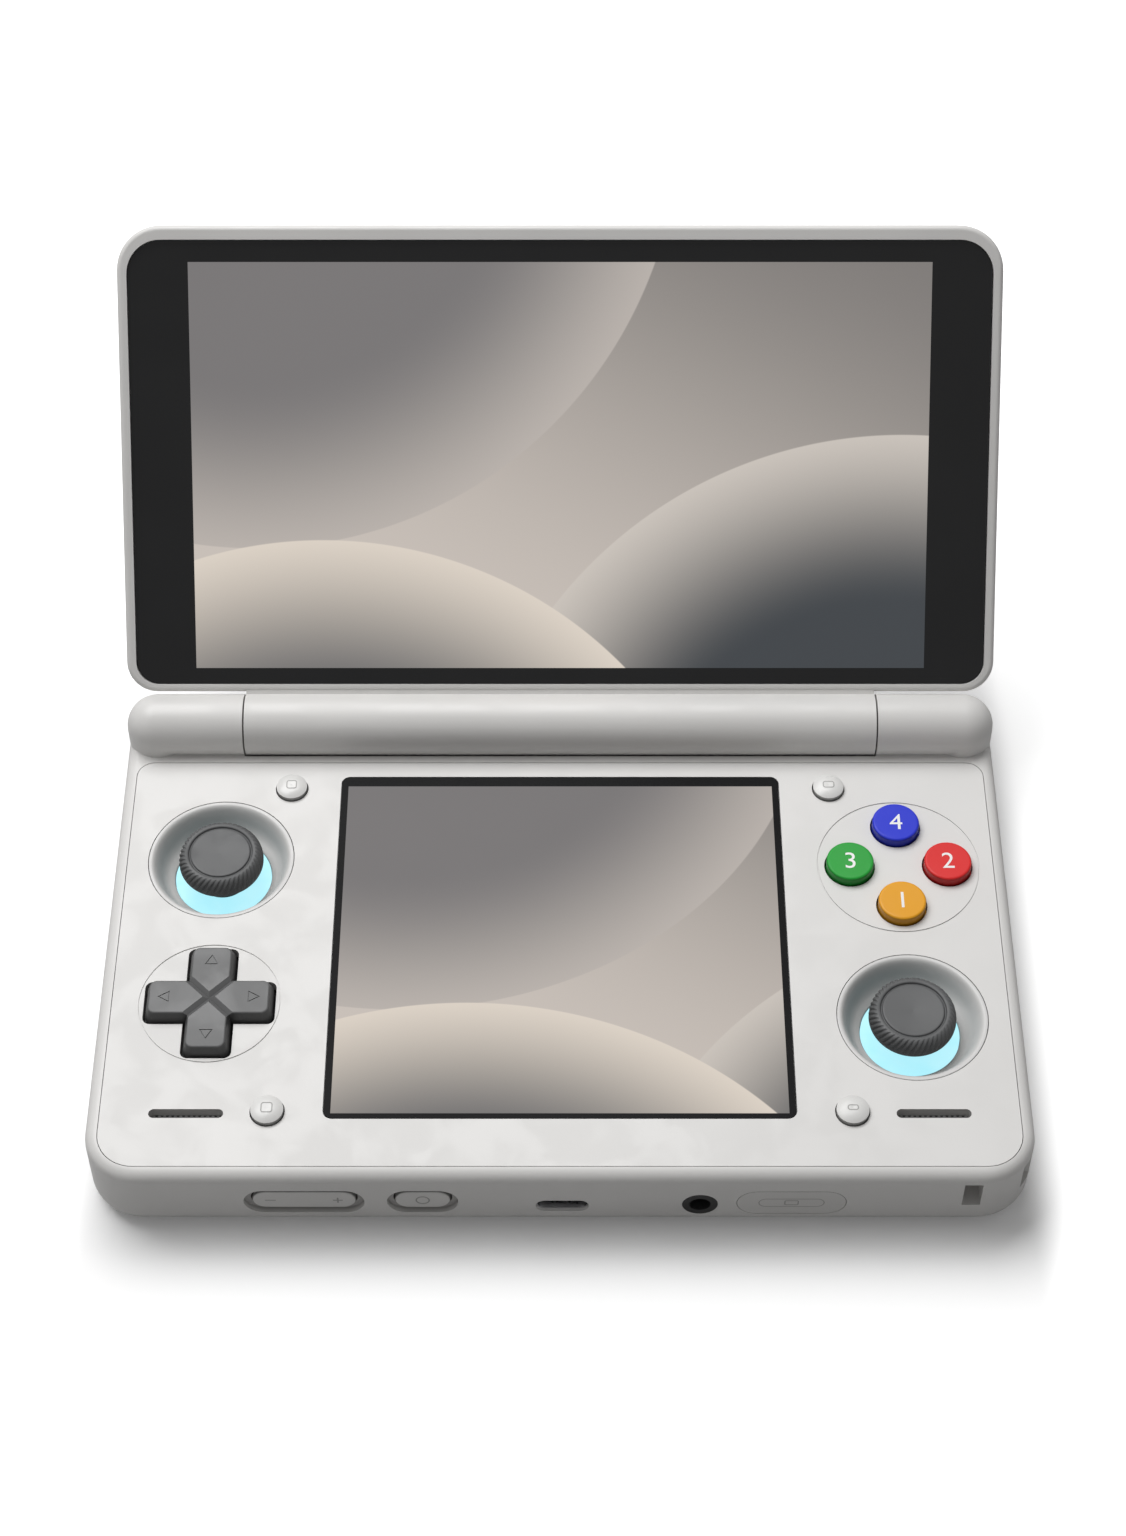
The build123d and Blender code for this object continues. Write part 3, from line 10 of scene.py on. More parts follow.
import bmesh
import bpy
import numpy as np
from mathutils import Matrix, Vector

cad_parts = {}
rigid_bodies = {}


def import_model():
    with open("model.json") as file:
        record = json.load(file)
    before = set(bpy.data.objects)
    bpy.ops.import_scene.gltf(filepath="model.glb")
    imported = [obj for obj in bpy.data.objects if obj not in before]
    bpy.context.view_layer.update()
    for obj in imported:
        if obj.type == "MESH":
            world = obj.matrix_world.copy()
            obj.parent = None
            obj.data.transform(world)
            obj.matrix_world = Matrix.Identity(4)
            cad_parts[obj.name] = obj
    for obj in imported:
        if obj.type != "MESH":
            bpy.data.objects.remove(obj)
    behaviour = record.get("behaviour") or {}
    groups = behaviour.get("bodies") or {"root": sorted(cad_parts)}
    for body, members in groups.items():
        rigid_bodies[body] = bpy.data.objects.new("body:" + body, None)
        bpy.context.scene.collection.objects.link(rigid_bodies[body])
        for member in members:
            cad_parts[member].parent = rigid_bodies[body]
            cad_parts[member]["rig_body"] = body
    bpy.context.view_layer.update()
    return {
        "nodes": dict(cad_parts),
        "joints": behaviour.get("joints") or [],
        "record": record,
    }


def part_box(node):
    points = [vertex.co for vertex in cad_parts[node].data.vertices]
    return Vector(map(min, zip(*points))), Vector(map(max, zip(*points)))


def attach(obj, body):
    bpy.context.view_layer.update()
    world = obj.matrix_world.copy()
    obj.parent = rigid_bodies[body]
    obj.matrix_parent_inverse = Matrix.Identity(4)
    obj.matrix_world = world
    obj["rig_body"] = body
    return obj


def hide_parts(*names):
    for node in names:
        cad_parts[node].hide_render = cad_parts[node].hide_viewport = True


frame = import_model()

MM = 0.001
HANDS = ("left", "right")
nodes = frame["nodes"]
slot_of = {part["node"]: part["material_slot"] for part in frame["record"]["subparts"]}
print("nodes in the frame:", len(nodes))

# %% [markdown]
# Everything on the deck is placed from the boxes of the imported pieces. The lid is placed from its
# hinge: the hinge's upper limit is the shut lid, so that limit is also the angle at which it stands.

# %% Places that come from the frame
hinge = next(joint for joint in frame["joints"] if joint["name"] == "lid_hinge")
hinge_point = Vector(hinge["pos_m"])
opening = radians(hinge["range_deg"][1])
lid_up = Vector((0, -cos(opening), sin(opening)))
deck_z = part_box("deck_plate")[1].z
front_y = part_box("base_shell")[0].y


def middle(node):
    """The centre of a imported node's box: half the sum of its two corners."""
    low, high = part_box(node)
    return (low + high) / 2


print("deck height", round(deck_z / MM, 2), "mm, lid stands at", hinge["range_deg"][1], "degrees")

# %% [markdown]
# The camera comes first, because every later choice is judged through it. Its lens, tilt and place
# were solved from the straight edges of the photograph. The long side of the picture is upright,
# so Blender's automatic sensor fit measures the 36 mm along the height.

# %% Camera
lens_mm = 71.20
tilt_deg = 38.857
camera_place = Vector((0.52, -339.44, 446.17)) * MM
camera_data = bpy.data.cameras.new("camera")
camera_data.lens = lens_mm
camera_data.sensor_width = 36
camera_data.clip_end = 20
camera = bpy.data.objects.new("camera", camera_data)
camera.location = camera_place
camera.rotation_euler = (radians(tilt_deg), 0, 0)
bpy.context.scene.collection.objects.link(camera)
bpy.context.scene.camera = camera
print("camera", round(camera_place.length, 3), "m from the frame's origin")

# %% [markdown]
# A material is a tree of nodes. It could be drawn by hand in Blender's editor, but written out here
# it gives the same result each time. Four small helpers keep that short: one makes a node, one joins
# a value or a link to a socket, one gives the result of a sum, and one carries a value smoothly from
# one range to another.

# %% Helpers for nodes and sums


def add_node(tree, kind, **settings):
    """A new node of that kind with its settings."""
    made = tree.nodes.new(kind)
    for key, value in settings.items():
        setattr(made, key, value)
    return made


def feed(tree, socket, source):
    """Joins a link to the socket, or writes a plain value in it."""
    if isinstance(source, bpy.types.NodeSocket):
        tree.links.new(source, socket)
    else:
        socket.default_value = source


def calc(tree, operation, *sources):
    """The result of one Math node."""
    made = add_node(tree, "ShaderNodeMath", operation=operation)
    for socket, source in zip(made.inputs, sources):
        feed(tree, socket, source)
    return made.outputs[0]


def ramp(tree, value, low, high, to_low=0.0, to_high=1.0):
    """The value carried smoothly from one range to another, and held at the ends."""
    made = add_node(tree, "ShaderNodeMapRange", interpolation_type="SMOOTHSTEP")
    for socket, source in zip(made.inputs, (value, low, high, to_low, to_high)):
        feed(tree, socket, source)
    return made.outputs[0]


print("node helpers:", add_node.__name__, feed.__name__, calc.__name__, ramp.__name__)

# %% [markdown]
# Three more helpers are for colours and for groups. A group holds an effect that several materials
# share. It gives out only colours, masks and heights, and each material keeps its own shader.

# %% Helpers for colours and groups


def blend_colours(tree, amount, first, second):
    """One colour turning into another as amount goes from 0 to 1."""
    made = add_node(tree, "ShaderNodeMix", data_type="RGBA")
    feed(tree, made.inputs["Factor"], amount)
    feed(tree, made.inputs[6], first)
    feed(tree, made.inputs[7], second)
    return made.outputs[2]


def new_group(name, inputs, outputs):
    """An empty node group with named sockets, and its two end nodes."""
    tree = bpy.data.node_groups.new(name, "ShaderNodeTree")
    for label, kind, value in inputs:
        socket = tree.interface.new_socket(label, in_out="INPUT", socket_type=f"NodeSocket{kind}")
        socket.default_value = value
    for label, kind in outputs:
        tree.interface.new_socket(label, in_out="OUTPUT", socket_type=f"NodeSocket{kind}")
    return tree, add_node(tree, "NodeGroupInput"), add_node(tree, "NodeGroupOutput")


def place_group(tree, group, **values):
    """A copy of a group in a tree, with its inputs set by name."""
    made = add_node(tree, "ShaderNodeGroup", node_tree=group)
    for label, value in values.items():
        feed(tree, made.inputs[label.replace("_", " ")], value)
    return made


print("group helpers:", blend_colours.__name__, new_group.__name__, place_group.__name__)

# %% [markdown]
# Every material starts the same way: a Principled shader and Object coordinates, which stay with a
# piece when it moves. Bump turns a height into a tilted normal, for grain too fine to be modelled.

# %% Helpers for materials


def new_material(name):
    """A material with a Principled shader and Object coordinates ready."""
    material = bpy.data.materials.new(name)
    material.use_nodes = True
    tree = material.node_tree
    shader = tree.nodes["Principled BSDF"]
    where = add_node(tree, "ShaderNodeTexCoord").outputs["Object"]
    return material, tree, shader, where


def add_bump(tree, shader, height, depth):
    """Turns a height into the shader's normal. depth is the height of a full step in metres."""
    bump = add_node(tree, "ShaderNodeBump")
    bump.inputs["Strength"].default_value = 1.0
    bump.inputs["Distance"].default_value = depth
    feed(tree, bump.inputs["Height"], height)
    tree.links.new(bump.outputs["Normal"], shader.inputs["Normal"])


print("material helpers:", new_material.__name__, add_bump.__name__)

# %% [markdown]
# Moulded plastic is never one flat colour up close. The tool leaves a fine spark-eroded grain, the
# plastic flows a little unevenly, and hands polish some places more than others. Painted images
# could show this, but they end somewhere, and three noises don't. One group gives all three as
# separate outputs, so a material can use as much of each as its piece shows.

# %% Group: grain, drift of colour and handling polish
drift_range = (0.3, 0.7)  # the part of the broad noise that is spread over the whole drift
polish_range = (0.35, 0.65)
grain_group, ends_in, ends_out = new_group(
    "moulded grain",
    [
        ("Vector", "Vector", (0, 0, 0)),
        ("Grain Size", "Float", 0.3 * MM),
        ("Patch Size", "Float", 25 * MM),
    ],
    [("Height", "Float"), ("Drift", "Float"), ("Polish", "Float")],
)


def grain_noise(cells, size, **settings):
    """A noise whose scale is cells divided by a size in metres."""
    noise = add_node(grain_group, "ShaderNodeTexNoise")
    feed(grain_group, noise.inputs["Vector"], ends_in.outputs["Vector"])
    feed(grain_group, noise.inputs["Scale"], calc(grain_group, "DIVIDE", cells, ends_in.outputs[size]))
    for label, value in settings.items():
        noise.inputs[label].default_value = value
    return noise.outputs["Fac"]


fine = grain_noise(1.0, "Grain Size", Detail=3, Roughness=0.6)
broad = grain_noise(1.0, "Patch Size", Detail=2)
streaks = grain_noise(3.0, "Patch Size", Detail=5, Distortion=0.6)
feed(grain_group, ends_out.inputs["Height"], fine)
feed(grain_group, ends_out.inputs["Drift"], ramp(grain_group, broad, *drift_range))
feed(grain_group, ends_out.inputs["Polish"], ramp(grain_group, streaks, *polish_range))
print("moulded grain:", len(grain_group.nodes), "nodes")

# %% [markdown]
# Most pieces are one family: plastic, rubber or bare metal that differ in colour, gloss and grain.
# A single function mixes them from the group, with the constants written on the shader itself.
# Sides that turn away from the touched face can be darker: that is a painted shade, as if less light
# reached them.

# %% One function for all plain finishes
shade_fade_range = (0.3, 0.9)  # how squarely a side must face front to start and to end being free of the painted shade


def finish(
    name,
    colour,
    roughness,
    grain_mm=0.3,
    depth_mm=0.006,
    drift=0.05,
    spread=0.06,
    metal=0.0,
    specular=0.5,
    side_shade=1.0,
    front=(0, 0, 1),
):
    """A moulded or pressed surface. Its colour drifts by a few hundredths and its gloss by spread.

    side_shade is the share of the colour left on sides that turn away from front, a painted shade: the
    dot product of the surface's own normal and front says how far they turn.
    """
    material, tree, shader, where = new_material(name)
    grain = place_group(tree, grain_group, Vector=where, Grain_Size=grain_mm * MM)
    light = (*colour, 1)
    dark = (*[part * (1 - drift) for part in colour], 1)
    drifted = blend_colours(tree, grain.outputs["Drift"], dark, light)
    # Painted shade: sides that turn away from front get a darker colour.
    if side_shade < 1:
        facing = add_node(tree, "ShaderNodeVectorMath", operation="DOT_PRODUCT")
        tree.links.new(add_node(tree, "ShaderNodeTexCoord").outputs["Normal"], facing.inputs[0])
        facing.inputs[1].default_value = front
        unshaded = ramp(tree, facing.outputs["Value"], *shade_fade_range)
        painted_shade = (*[part * side_shade for part in colour], 1)
        drifted = blend_colours(tree, unshaded, painted_shade, drifted)
    tree.links.new(drifted, shader.inputs["Base Color"])
    gloss = ramp(tree, grain.outputs["Polish"], 0, 1, roughness + spread, roughness - spread)
    tree.links.new(gloss, shader.inputs["Roughness"])
    shader.inputs["Metallic"].default_value = metal
    shader.inputs["Specular IOR Level"].default_value = specular
    add_bump(tree, shader, grain.outputs["Height"], depth_mm * MM)
    return material


print("plain finish: dusty below a facing of", shade_fade_range[0], "and wiped above", shade_fade_range[1])

# %% [markdown]
# The casing is one warm off-white plastic in several shades. The deck, the front keys and the card door
# get the same plastic with a painted shade on their sides, so that their gaps read as fine dark lines.

# %% Casing plastics
casing_skin = dict(grain_mm=0.25, depth_mm=0.004)
door_skin = dict(grain_mm=0.2, depth_mm=0.005)
body_colour = (0.70, 0.69, 0.675)
door_colour = (0.66, 0.65, 0.635)
to_viewer = (0, -1, 0)
finishes = {
    "body_plastic": finish("body plastic", body_colour, 0.42, drift=0.03, **casing_skin),
    "well_plastic": finish("well plastic", (0.64, 0.635, 0.625), 0.40, drift=0.04, **casing_skin),
    "door_plastic": finish("door plastic", door_colour, 0.50, **door_skin),
    "shoulder_plastic": finish("shoulder plastic", (0.60, 0.59, 0.575), 0.38, **casing_skin),
}
deck_plastic = finish("deck plastic", body_colour, 0.42, drift=0.03, side_shade=0.62, **casing_skin)
key_plastic = finish(
    "front key plastic", body_colour, 0.42, drift=0.03, side_shade=0.4, front=to_viewer, **casing_skin
)
card_plastic = finish("card door plastic", door_colour, 0.50, side_shade=0.4, front=to_viewer, **door_skin)
print("casing plastics:", len(finishes) + 3)

# %% [markdown]
# The controls are dyed plastic and soft rubber. The round buttons are a little less shiny than the
# casing, so their colours stay full under the soft lamp.

# %% Controls
# The round buttons, small buttons, caps and cross get a painted shade on their sides, as the casing
# does.
button_skin = dict(depth_mm=0.002, drift=0.06, specular=0.25, side_shade=0.6)
small_skin = dict(depth_mm=0.002, drift=0.02, side_shade=0.4)
rubber_skin = dict(grain_mm=0.2, depth_mm=0.008, drift=0.1, side_shade=0.7)
cross_skin = dict(grain_mm=0.2, depth_mm=0.006, drift=0.06, side_shade=0.4)
finishes |= {
    "small_button_plastic": finish("small button plastic", (0.72, 0.715, 0.70), 0.30, **small_skin),
    "stick_rubber": finish("stick rubber", (0.078, 0.080, 0.082), 0.55, **rubber_skin),
    "control_grey": finish("cross plastic", (0.105, 0.106, 0.107), 0.45, **cross_skin),
    "button_blue": finish("blue button", (0.018, 0.035, 0.62), 0.36, **button_skin),
    "button_green": finish("green button", (0.012, 0.34, 0.035), 0.36, **button_skin),
    "button_red": finish("red button", (0.72, 0.024, 0.024), 0.36, **button_skin),
    "button_amber": finish("amber button", (0.80, 0.36, 0.014), 0.36, **button_skin),
}
ink_white = finish("white ink", (0.86, 0.86, 0.85), 0.5, drift=0.02)
# The darker colour of the pressed marks is painted shade: the shade in a pressed line this thin.
pressed_line_shade = finish("engraved mark", (0.36, 0.355, 0.345), 0.6, drift=0.02)
print("finishes so far:", len(finishes))

# %% [markdown]
# The pieces inside and underneath are seen only when the lid, the card door or the cover is off, but
# each still gets the material it really has, with its own grain.

# %% Inner pieces
finishes |= {
    "rubber_grey": finish("foot rubber", (0.12, 0.12, 0.12), 0.75, grain_mm=0.4, depth_mm=0.01),
    "membrane_rubber": finish("membrane rubber", (0.35, 0.35, 0.35), 0.6),
    "display_black": finish("display panel", (0.01, 0.01, 0.011), 0.4),
    "battery_wrap": finish("battery wrap", (0.02, 0.02, 0.022), 0.35, grain_mm=1.5, depth_mm=0.03),
    "board_green": finish("solder mask", (0.012, 0.07, 0.04), 0.35, 0.8, 0.01, drift=0.3),
    "chip_black": finish("chip resin", (0.015, 0.015, 0.015), 0.55),
    "spreader_metal": finish("rolled sheet", (0.6, 0.6, 0.61), 0.35, 0.6, 0.004, metal=1.0),
    "port_steel": finish("port steel", (0.50, 0.50, 0.51), 0.30, depth_mm=0.002, metal=1.0),
    "port_black": finish("port plastic", (0.012, 0.012, 0.012), 0.40, depth_mm=0.004),
    "switch_metal": finish("switch metal", (0.45, 0.45, 0.45), 0.35, metal=1.0),
    "hinge_steel": finish("ground steel", (0.42, 0.42, 0.43), 0.28, metal=1.0),
    "screw_steel": finish("plated steel", (0.22, 0.22, 0.23), 0.35, metal=1.0),
    "flex_amber": finish("polyimide strip", (0.5, 0.18, 0.02), 0.3),
}
print("plain finishes:", len(finishes))

# %% [markdown]
# The light ring is a clear guide that glows evenly. A real one passes on the light of hidden diodes.
# Here it is part colour and part lamp: the camera sees it bright, and a weaker emission of the same
# cyan lights the bowl round it, as the photograph shows. Lamps under it would only add noise.

# %% Light ring
glow = (0.44, 0.89, 1.0, 1)
glow_thin = (0.50, 0.91, 1.0, 1)  # where the guide is a little thinner
guide_dark = (0.03, 0.08, 0.09, 1)
guide_light = (0.04, 0.09, 0.10, 1)
guide_gloss = (0.5, 0.35)  # roughness where it is least and most polished
guide_patch = 6 * MM
seen_strength = 0.97
shed_strength = 0.22  # what the ring sheds on the bowl round it
light_material, tree, shader, where = new_material("light guide")
cloud = place_group(tree, grain_group, Vector=where, Patch_Size=guide_patch)
shine = blend_colours(tree, cloud.outputs["Drift"], glow, glow_thin)
tree.links.new(shine, shader.inputs["Emission Color"])
path = add_node(tree, "ShaderNodeLightPath")
strength = ramp(tree, path.outputs["Is Camera Ray"], 0, 1, shed_strength, seen_strength)
tree.links.new(strength, shader.inputs["Emission Strength"])
guide = blend_colours(tree, cloud.outputs["Drift"], guide_dark, guide_light)
tree.links.new(guide, shader.inputs["Base Color"])
tree.links.new(ramp(tree, cloud.outputs["Polish"], 0, 1, *guide_gloss), shader.inputs["Roughness"])
shader.inputs["Specular IOR Level"].default_value = 0.2
add_bump(tree, shader, cloud.outputs["Height"], 0.002 * MM)
finishes["light_cyan"] = light_material
print("light guide:", len(tree.nodes), "nodes")

# %% [markdown]
# A speaker mesh is a grid of punched holes. The holes are far smaller than a pixel, so a repeating
# pattern of round dots on Object coordinates is enough: dark in the hole, grey on the web.

# %% Speaker mesh
hole_pitch = 0.9 * MM
hole_edge = (0.22, 0.34)  # distance from a hole's middle where the web begins, in pitches
hole_colour = (0.05, 0.05, 0.05, 1)
web_colour = (0.36, 0.36, 0.355, 1)
mesh_material, tree, shader, where = new_material("speaker mesh")
dots = add_node(tree, "ShaderNodeTexVoronoi", feature="F1", voronoi_dimensions="2D")
dots.inputs["Randomness"].default_value = 0
dots.inputs["Scale"].default_value = 1 / hole_pitch
tree.links.new(where, dots.inputs["Vector"])
web = ramp(tree, dots.outputs["Distance"], *hole_edge)
tree.links.new(blend_colours(tree, web, hole_colour, web_colour), shader.inputs["Base Color"])
shader.inputs["Roughness"].default_value = 0.5
add_bump(tree, shader, web, 0.1 * MM)
finishes["mesh_grey"] = mesh_material
print("slots with a finish:", len(finishes))

# %% [markdown]
# Both screens show a quiet wallpaper: broad round folds in warm grey and slate, each brightest
# along its rim. An image would need a file, so a group draws it from two coordinates that run over
# the picture, in units of the picture's height. Each fold is a disc: the distance from its centre
# gives both its edge and how deep a point lies inside it, and the depth turns the rim's colour into
# the deep one.

# %% Group: wallpaper
sky_dark = (0.22, 0.205, 0.195, 1)
sky_light = (0.62, 0.56, 0.51, 1)
sky_lean = 0.45  # how much the sky's shade runs sideways as well as up
sky_range = (0.35, 1.9)
fold_edge = 0.002  # half the width of a fold's soft edge
fold_fade = (-0.12, 0.42)  # depth at which the rim's colour starts and ends to fade
folds = [  # centre, radius, rim colour and deep colour of each fold, from back to front
    ((0.15, 1.35, 0), 1.05, (0.56, 0.51, 0.47, 1), (0.20, 0.19, 0.19, 1)),
    ((1.75, -0.50, 0), 1.08, (0.72, 0.66, 0.60, 1), (0.05, 0.057, 0.065, 1)),
    ((0.32, -0.72, 0), 1.04, (0.86, 0.77, 0.67, 1), (0.13, 0.13, 0.135, 1)),
]
wallpaper_group, ends_in, ends_out = new_group(
    "wallpaper", [("Vector", "Vector", (0, 0, 0))], [("Color", "Color")]
)
tree = wallpaper_group
spot_in_picture = ends_in.outputs["Vector"]
split = add_node(tree, "ShaderNodeSeparateXYZ")
feed(tree, split.inputs[0], spot_in_picture)
slope = calc(tree, "ADD", calc(tree, "MULTIPLY", split.outputs["X"], sky_lean), split.outputs["Y"])
picture = blend_colours(tree, ramp(tree, slope, *sky_range), sky_light, sky_dark)
for centre, radius, rim_colour, deep_colour in folds:
    distance = add_node(tree, "ShaderNodeVectorMath", operation="DISTANCE")
    feed(tree, distance.inputs[0], spot_in_picture)
    distance.inputs[1].default_value = centre
    depth = calc(tree, "SUBTRACT", radius, distance.outputs["Value"])
    inside = ramp(tree, depth, -fold_edge, fold_edge)
    shade = blend_colours(tree, ramp(tree, depth, *fold_fade), rim_colour, deep_colour)
    picture = blend_colours(tree, inside, picture, shade)
feed(tree, ends_out.inputs["Color"], picture)
print("folds in the wallpaper:", len(folds))

# %% [markdown]
# A second group finds a rectangle on a surface. It measures how far a point lies across and up from
# the rectangle's corner, in units of its height, and says whether that is inside. The screens use it
# for the lit picture, so the border stays black, and the front face uses it for its key row.

# %% Group: a rectangle on a surface
window_group, ends_in, ends_out = new_group(
    "screen window",
    [
        ("Vector", "Vector", (0, 0, 0)),
        ("Origin", "Vector", (0, 0, 0)),
        ("Across", "Vector", (1, 0, 0)),
        ("Up", "Vector", (0, 1, 0)),
        ("Width", "Float", 1.0),
        ("Height", "Float", 1.0),
    ],
    [("Mask", "Float"), ("Vector", "Vector")],
)
tree = window_group
offset = add_node(tree, "ShaderNodeVectorMath", operation="SUBTRACT")
feed(tree, offset.inputs[0], ends_in.outputs["Vector"])
feed(tree, offset.inputs[1], ends_in.outputs["Origin"])
along = []
for direction in ("Across", "Up"):
    dot = add_node(tree, "ShaderNodeVectorMath", operation="DOT_PRODUCT")
    feed(tree, dot.inputs[0], offset.outputs[0])
    feed(tree, dot.inputs[1], ends_in.outputs[direction])
    along.append(calc(tree, "DIVIDE", dot.outputs["Value"], ends_in.outputs["Height"]))
aspect = calc(tree, "DIVIDE", ends_in.outputs["Width"], ends_in.outputs["Height"])
mask = calc(tree, "GREATER_THAN", along[0], 0.0)
for test, value, limit in (
    ("LESS_THAN", along[0], aspect),
    ("GREATER_THAN", along[1], 0.0),
    ("LESS_THAN", along[1], 1.0),
):
    mask = calc(tree, "MULTIPLY", mask, calc(tree, test, value, limit))
joined = add_node(tree, "ShaderNodeCombineXYZ")
feed(tree, joined.inputs[0], along[0])
feed(tree, joined.inputs[1], along[1])
feed(tree, ends_out.inputs["Mask"], mask)
feed(tree, ends_out.inputs["Vector"], joined.outputs[0])
print("screen window:", len(tree.nodes), "nodes")

# %% [markdown]
# The keys in the front face lie in shallow recesses. Their shade is painted: the shell's own plastic
# gets darker with the depth behind the front face, inside a window round the key row. The window has no
# far end, so the shell's back wall opposite the keys gets the same painted shade and shows a grey
# rectangle, which a real shell hasn't. A second ramp that fades the shade out would end it.

# %% Painted shade in the key recesses
recess_margin = 1.5 * MM  # how far the window reaches past the keys
recess_shallow = 0.3 * MM  # depth behind the front face where the shade starts
recess_deep = 1.0 * MM  # depth where it is full, and stays so to the back
painted_recess_shade = (0.44, 0.43, 0.42, 1)
shell_plastic = finish("shell plastic", body_colour, 0.42, drift=0.03, **casing_skin)
tree = shell_plastic.node_tree
shader = tree.nodes["Principled BSDF"]
where = add_node(tree, "ShaderNodeTexCoord").outputs["Object"]
margin = Vector((1, 1, 1)) * recess_margin
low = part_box("volume_rocker")[0] - margin
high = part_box("power_button")[1] + margin
window = place_group(
    tree,
    window_group,
    Vector=where,
    Origin=(low.x, 0, low.z),
    Up=(0, 0, 1),
    Width=high.x - low.x,
    Height=high.z - low.z,
)
split = add_node(tree, "ShaderNodeSeparateXYZ")
feed(tree, split.inputs[0], where)
depth = ramp(tree, split.outputs["Y"], front_y + recess_shallow, front_y + recess_deep)
# Painted shade: the plastic darkens with the depth behind the front face, inside the window.
shade = calc(tree, "MULTIPLY", depth, window.outputs["Mask"])
clean = shader.inputs["Base Color"].links[0].from_socket
tree.links.new(blend_colours(tree, shade, clean, painted_recess_shade), shader.inputs["Base Color"])
print("key row window:", round((high.x - low.x) / MM, 1), "x", round((high.z - low.z) / MM, 1), "mm")

# %% [markdown]
# The cover glass is black from behind, a little rough from an anti-glare coat, and carries faint
# smudges. Inside the window the wallpaper glows, at a strength where its colours come out as drawn.

# %% Material of a cover glass
picture_strength = 0.9
glass_gloss = (0.26, 0.24)  # roughness where it is least and most polished
smudge_patch = 18 * MM
border_dark = (0.007, 0.007, 0.0075, 1)
border_light = (0.009, 0.009, 0.0095, 1)


def cover_glass(name, origin, up, width, height, gloss):
    """Black glass with a lit picture. origin is the picture's lower left corner."""
    material, tree, shader, where = new_material(name)
    window = place_group(
        tree, window_group, Vector=where, Origin=origin, Up=up, Width=width, Height=height
    )
    paper = place_group(tree, wallpaper_group, Vector=window.outputs["Vector"])
    smudge = place_group(tree, grain_group, Vector=where, Patch_Size=smudge_patch)
    lit = blend_colours(tree, window.outputs["Mask"], (0, 0, 0, 1), paper.outputs["Color"])
    tree.links.new(lit, shader.inputs["Emission Color"])
    shader.inputs["Emission Strength"].default_value = picture_strength
    border = blend_colours(tree, smudge.outputs["Drift"], border_dark, border_light)
    tree.links.new(border, shader.inputs["Base Color"])
    tree.links.new(ramp(tree, smudge.outputs["Polish"], 0, 1, *glass_gloss), shader.inputs["Roughness"])
    shader.inputs["Specular IOR Level"].default_value = gloss
    add_bump(tree, shader, smudge.outputs["Height"], 0.0004 * MM)
    return material


print("cover glass: strength of the picture", picture_strength)

# %% [markdown]
# Both pictures were measured in the photograph from the hinge: the upper one along the lid, the lower
# one along the deck. Laid out from the hinge's own point, they stay right if the hinge moves. The
# upper glass mirrors the white studio a little, the lower one hardly at all.

# %% The two cover glasses
upper_picture = (132.8 * MM, 10.33 * MM, 83.47 * MM)  # width, lower and upper edge from the hinge
lower_picture = (76.6 * MM, 12.29 * MM, 81.93 * MM)  # width, rear and front edge from the hinge
upper_gloss = 0.18
lower_gloss = 0.03
width, low, high = upper_picture
upper_corner = hinge_point + lid_up * low - Vector((width / 2, 0, 0))
upper_glass_material = cover_glass("upper glass", upper_corner, lid_up, width, high - low, upper_gloss)
width, near, far = lower_picture
lower_corner = Vector((-width / 2, hinge_point.y - far, 0))
lower_up = Vector((0, 1, 0))
lower_glass_material = cover_glass("lower glass", lower_corner, lower_up, width, far - near, lower_gloss)
print("upper picture", round((high - low) / MM, 1), "mm high, lower", round((far - near) / MM, 1), "mm")

# %% [markdown]
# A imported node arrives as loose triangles, which would show as facets on every round edge. Each one
# is copied, its doubled points are merged, and edges sharper than a limit stay crisp while the rest
# shade smoothly. A Weighted Normal modifier then keeps the large flat faces flat.

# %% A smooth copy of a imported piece
merge_distance = 0.001 * MM
crisp_angle = radians(32)


def dressed(node, material):
    """A merged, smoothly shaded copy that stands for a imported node."""
    source = nodes[node]
    shape = bmesh.new()
    shape.from_mesh(source.data)
    bmesh.ops.remove_doubles(shape, verts=shape.verts, dist=merge_distance)
    for edge in shape.edges:
        edge.smooth = edge.is_manifold and edge.calc_face_angle(0) < crisp_angle
    for face in shape.faces:
        face.smooth = True
    mesh = bpy.data.meshes.new(f"{node}_finish")
    shape.to_mesh(mesh)
    shape.free()
    mesh.materials.append(material)
    piece = bpy.data.objects.new(f"{node}_finish", mesh)
    bpy.context.scene.collection.objects.link(piece)
    weighted = piece.modifiers.new("flat faces stay flat", "WEIGHTED_NORMAL")
    weighted.keep_sharp = True
    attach(piece, source["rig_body"])
    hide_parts(node)
    return piece


print("edges stay crisp over", round(crisp_angle * 180 / pi), "degrees")

# %% [markdown]
# Most pieces get the finish of their slot in the record. A few have one of their own, such as the two
# glasses with their different pictures. The caps, bowls and rings of the sticks are left out here,
# because finer shapes are made for them further down.

# %% Smooth copies of all the pieces but six
own_shapes = {f"{hand}_stick_{part}" for hand in HANDS for part in ("cap", "bezel", "light_ring")}
own_material = {
    "upper_glass": upper_glass_material,
    "lower_glass": lower_glass_material,
    "deck_plate": deck_plastic,
    "base_shell": shell_plastic,
    "volume_rocker": key_plastic,
    "power_button": key_plastic,
    "card_door": card_plastic,
}
copied = [node for node in sorted(nodes) if node not in own_shapes]
for node in copied:
    dressed(node, own_material.get(node) or finishes[slot_of[node]])
print("smooth copies:", len(copied))

# %% [markdown]
# A surface of revolution is the shape of many small things here. Its profile is a row of points in
# radius and height. Corners are rounded with short arcs, because moulded plastic and rubber have no
# sharp edges, and the points are then spread evenly, so that a pattern on the surface stays even.

# %% Profiles with rounded corners


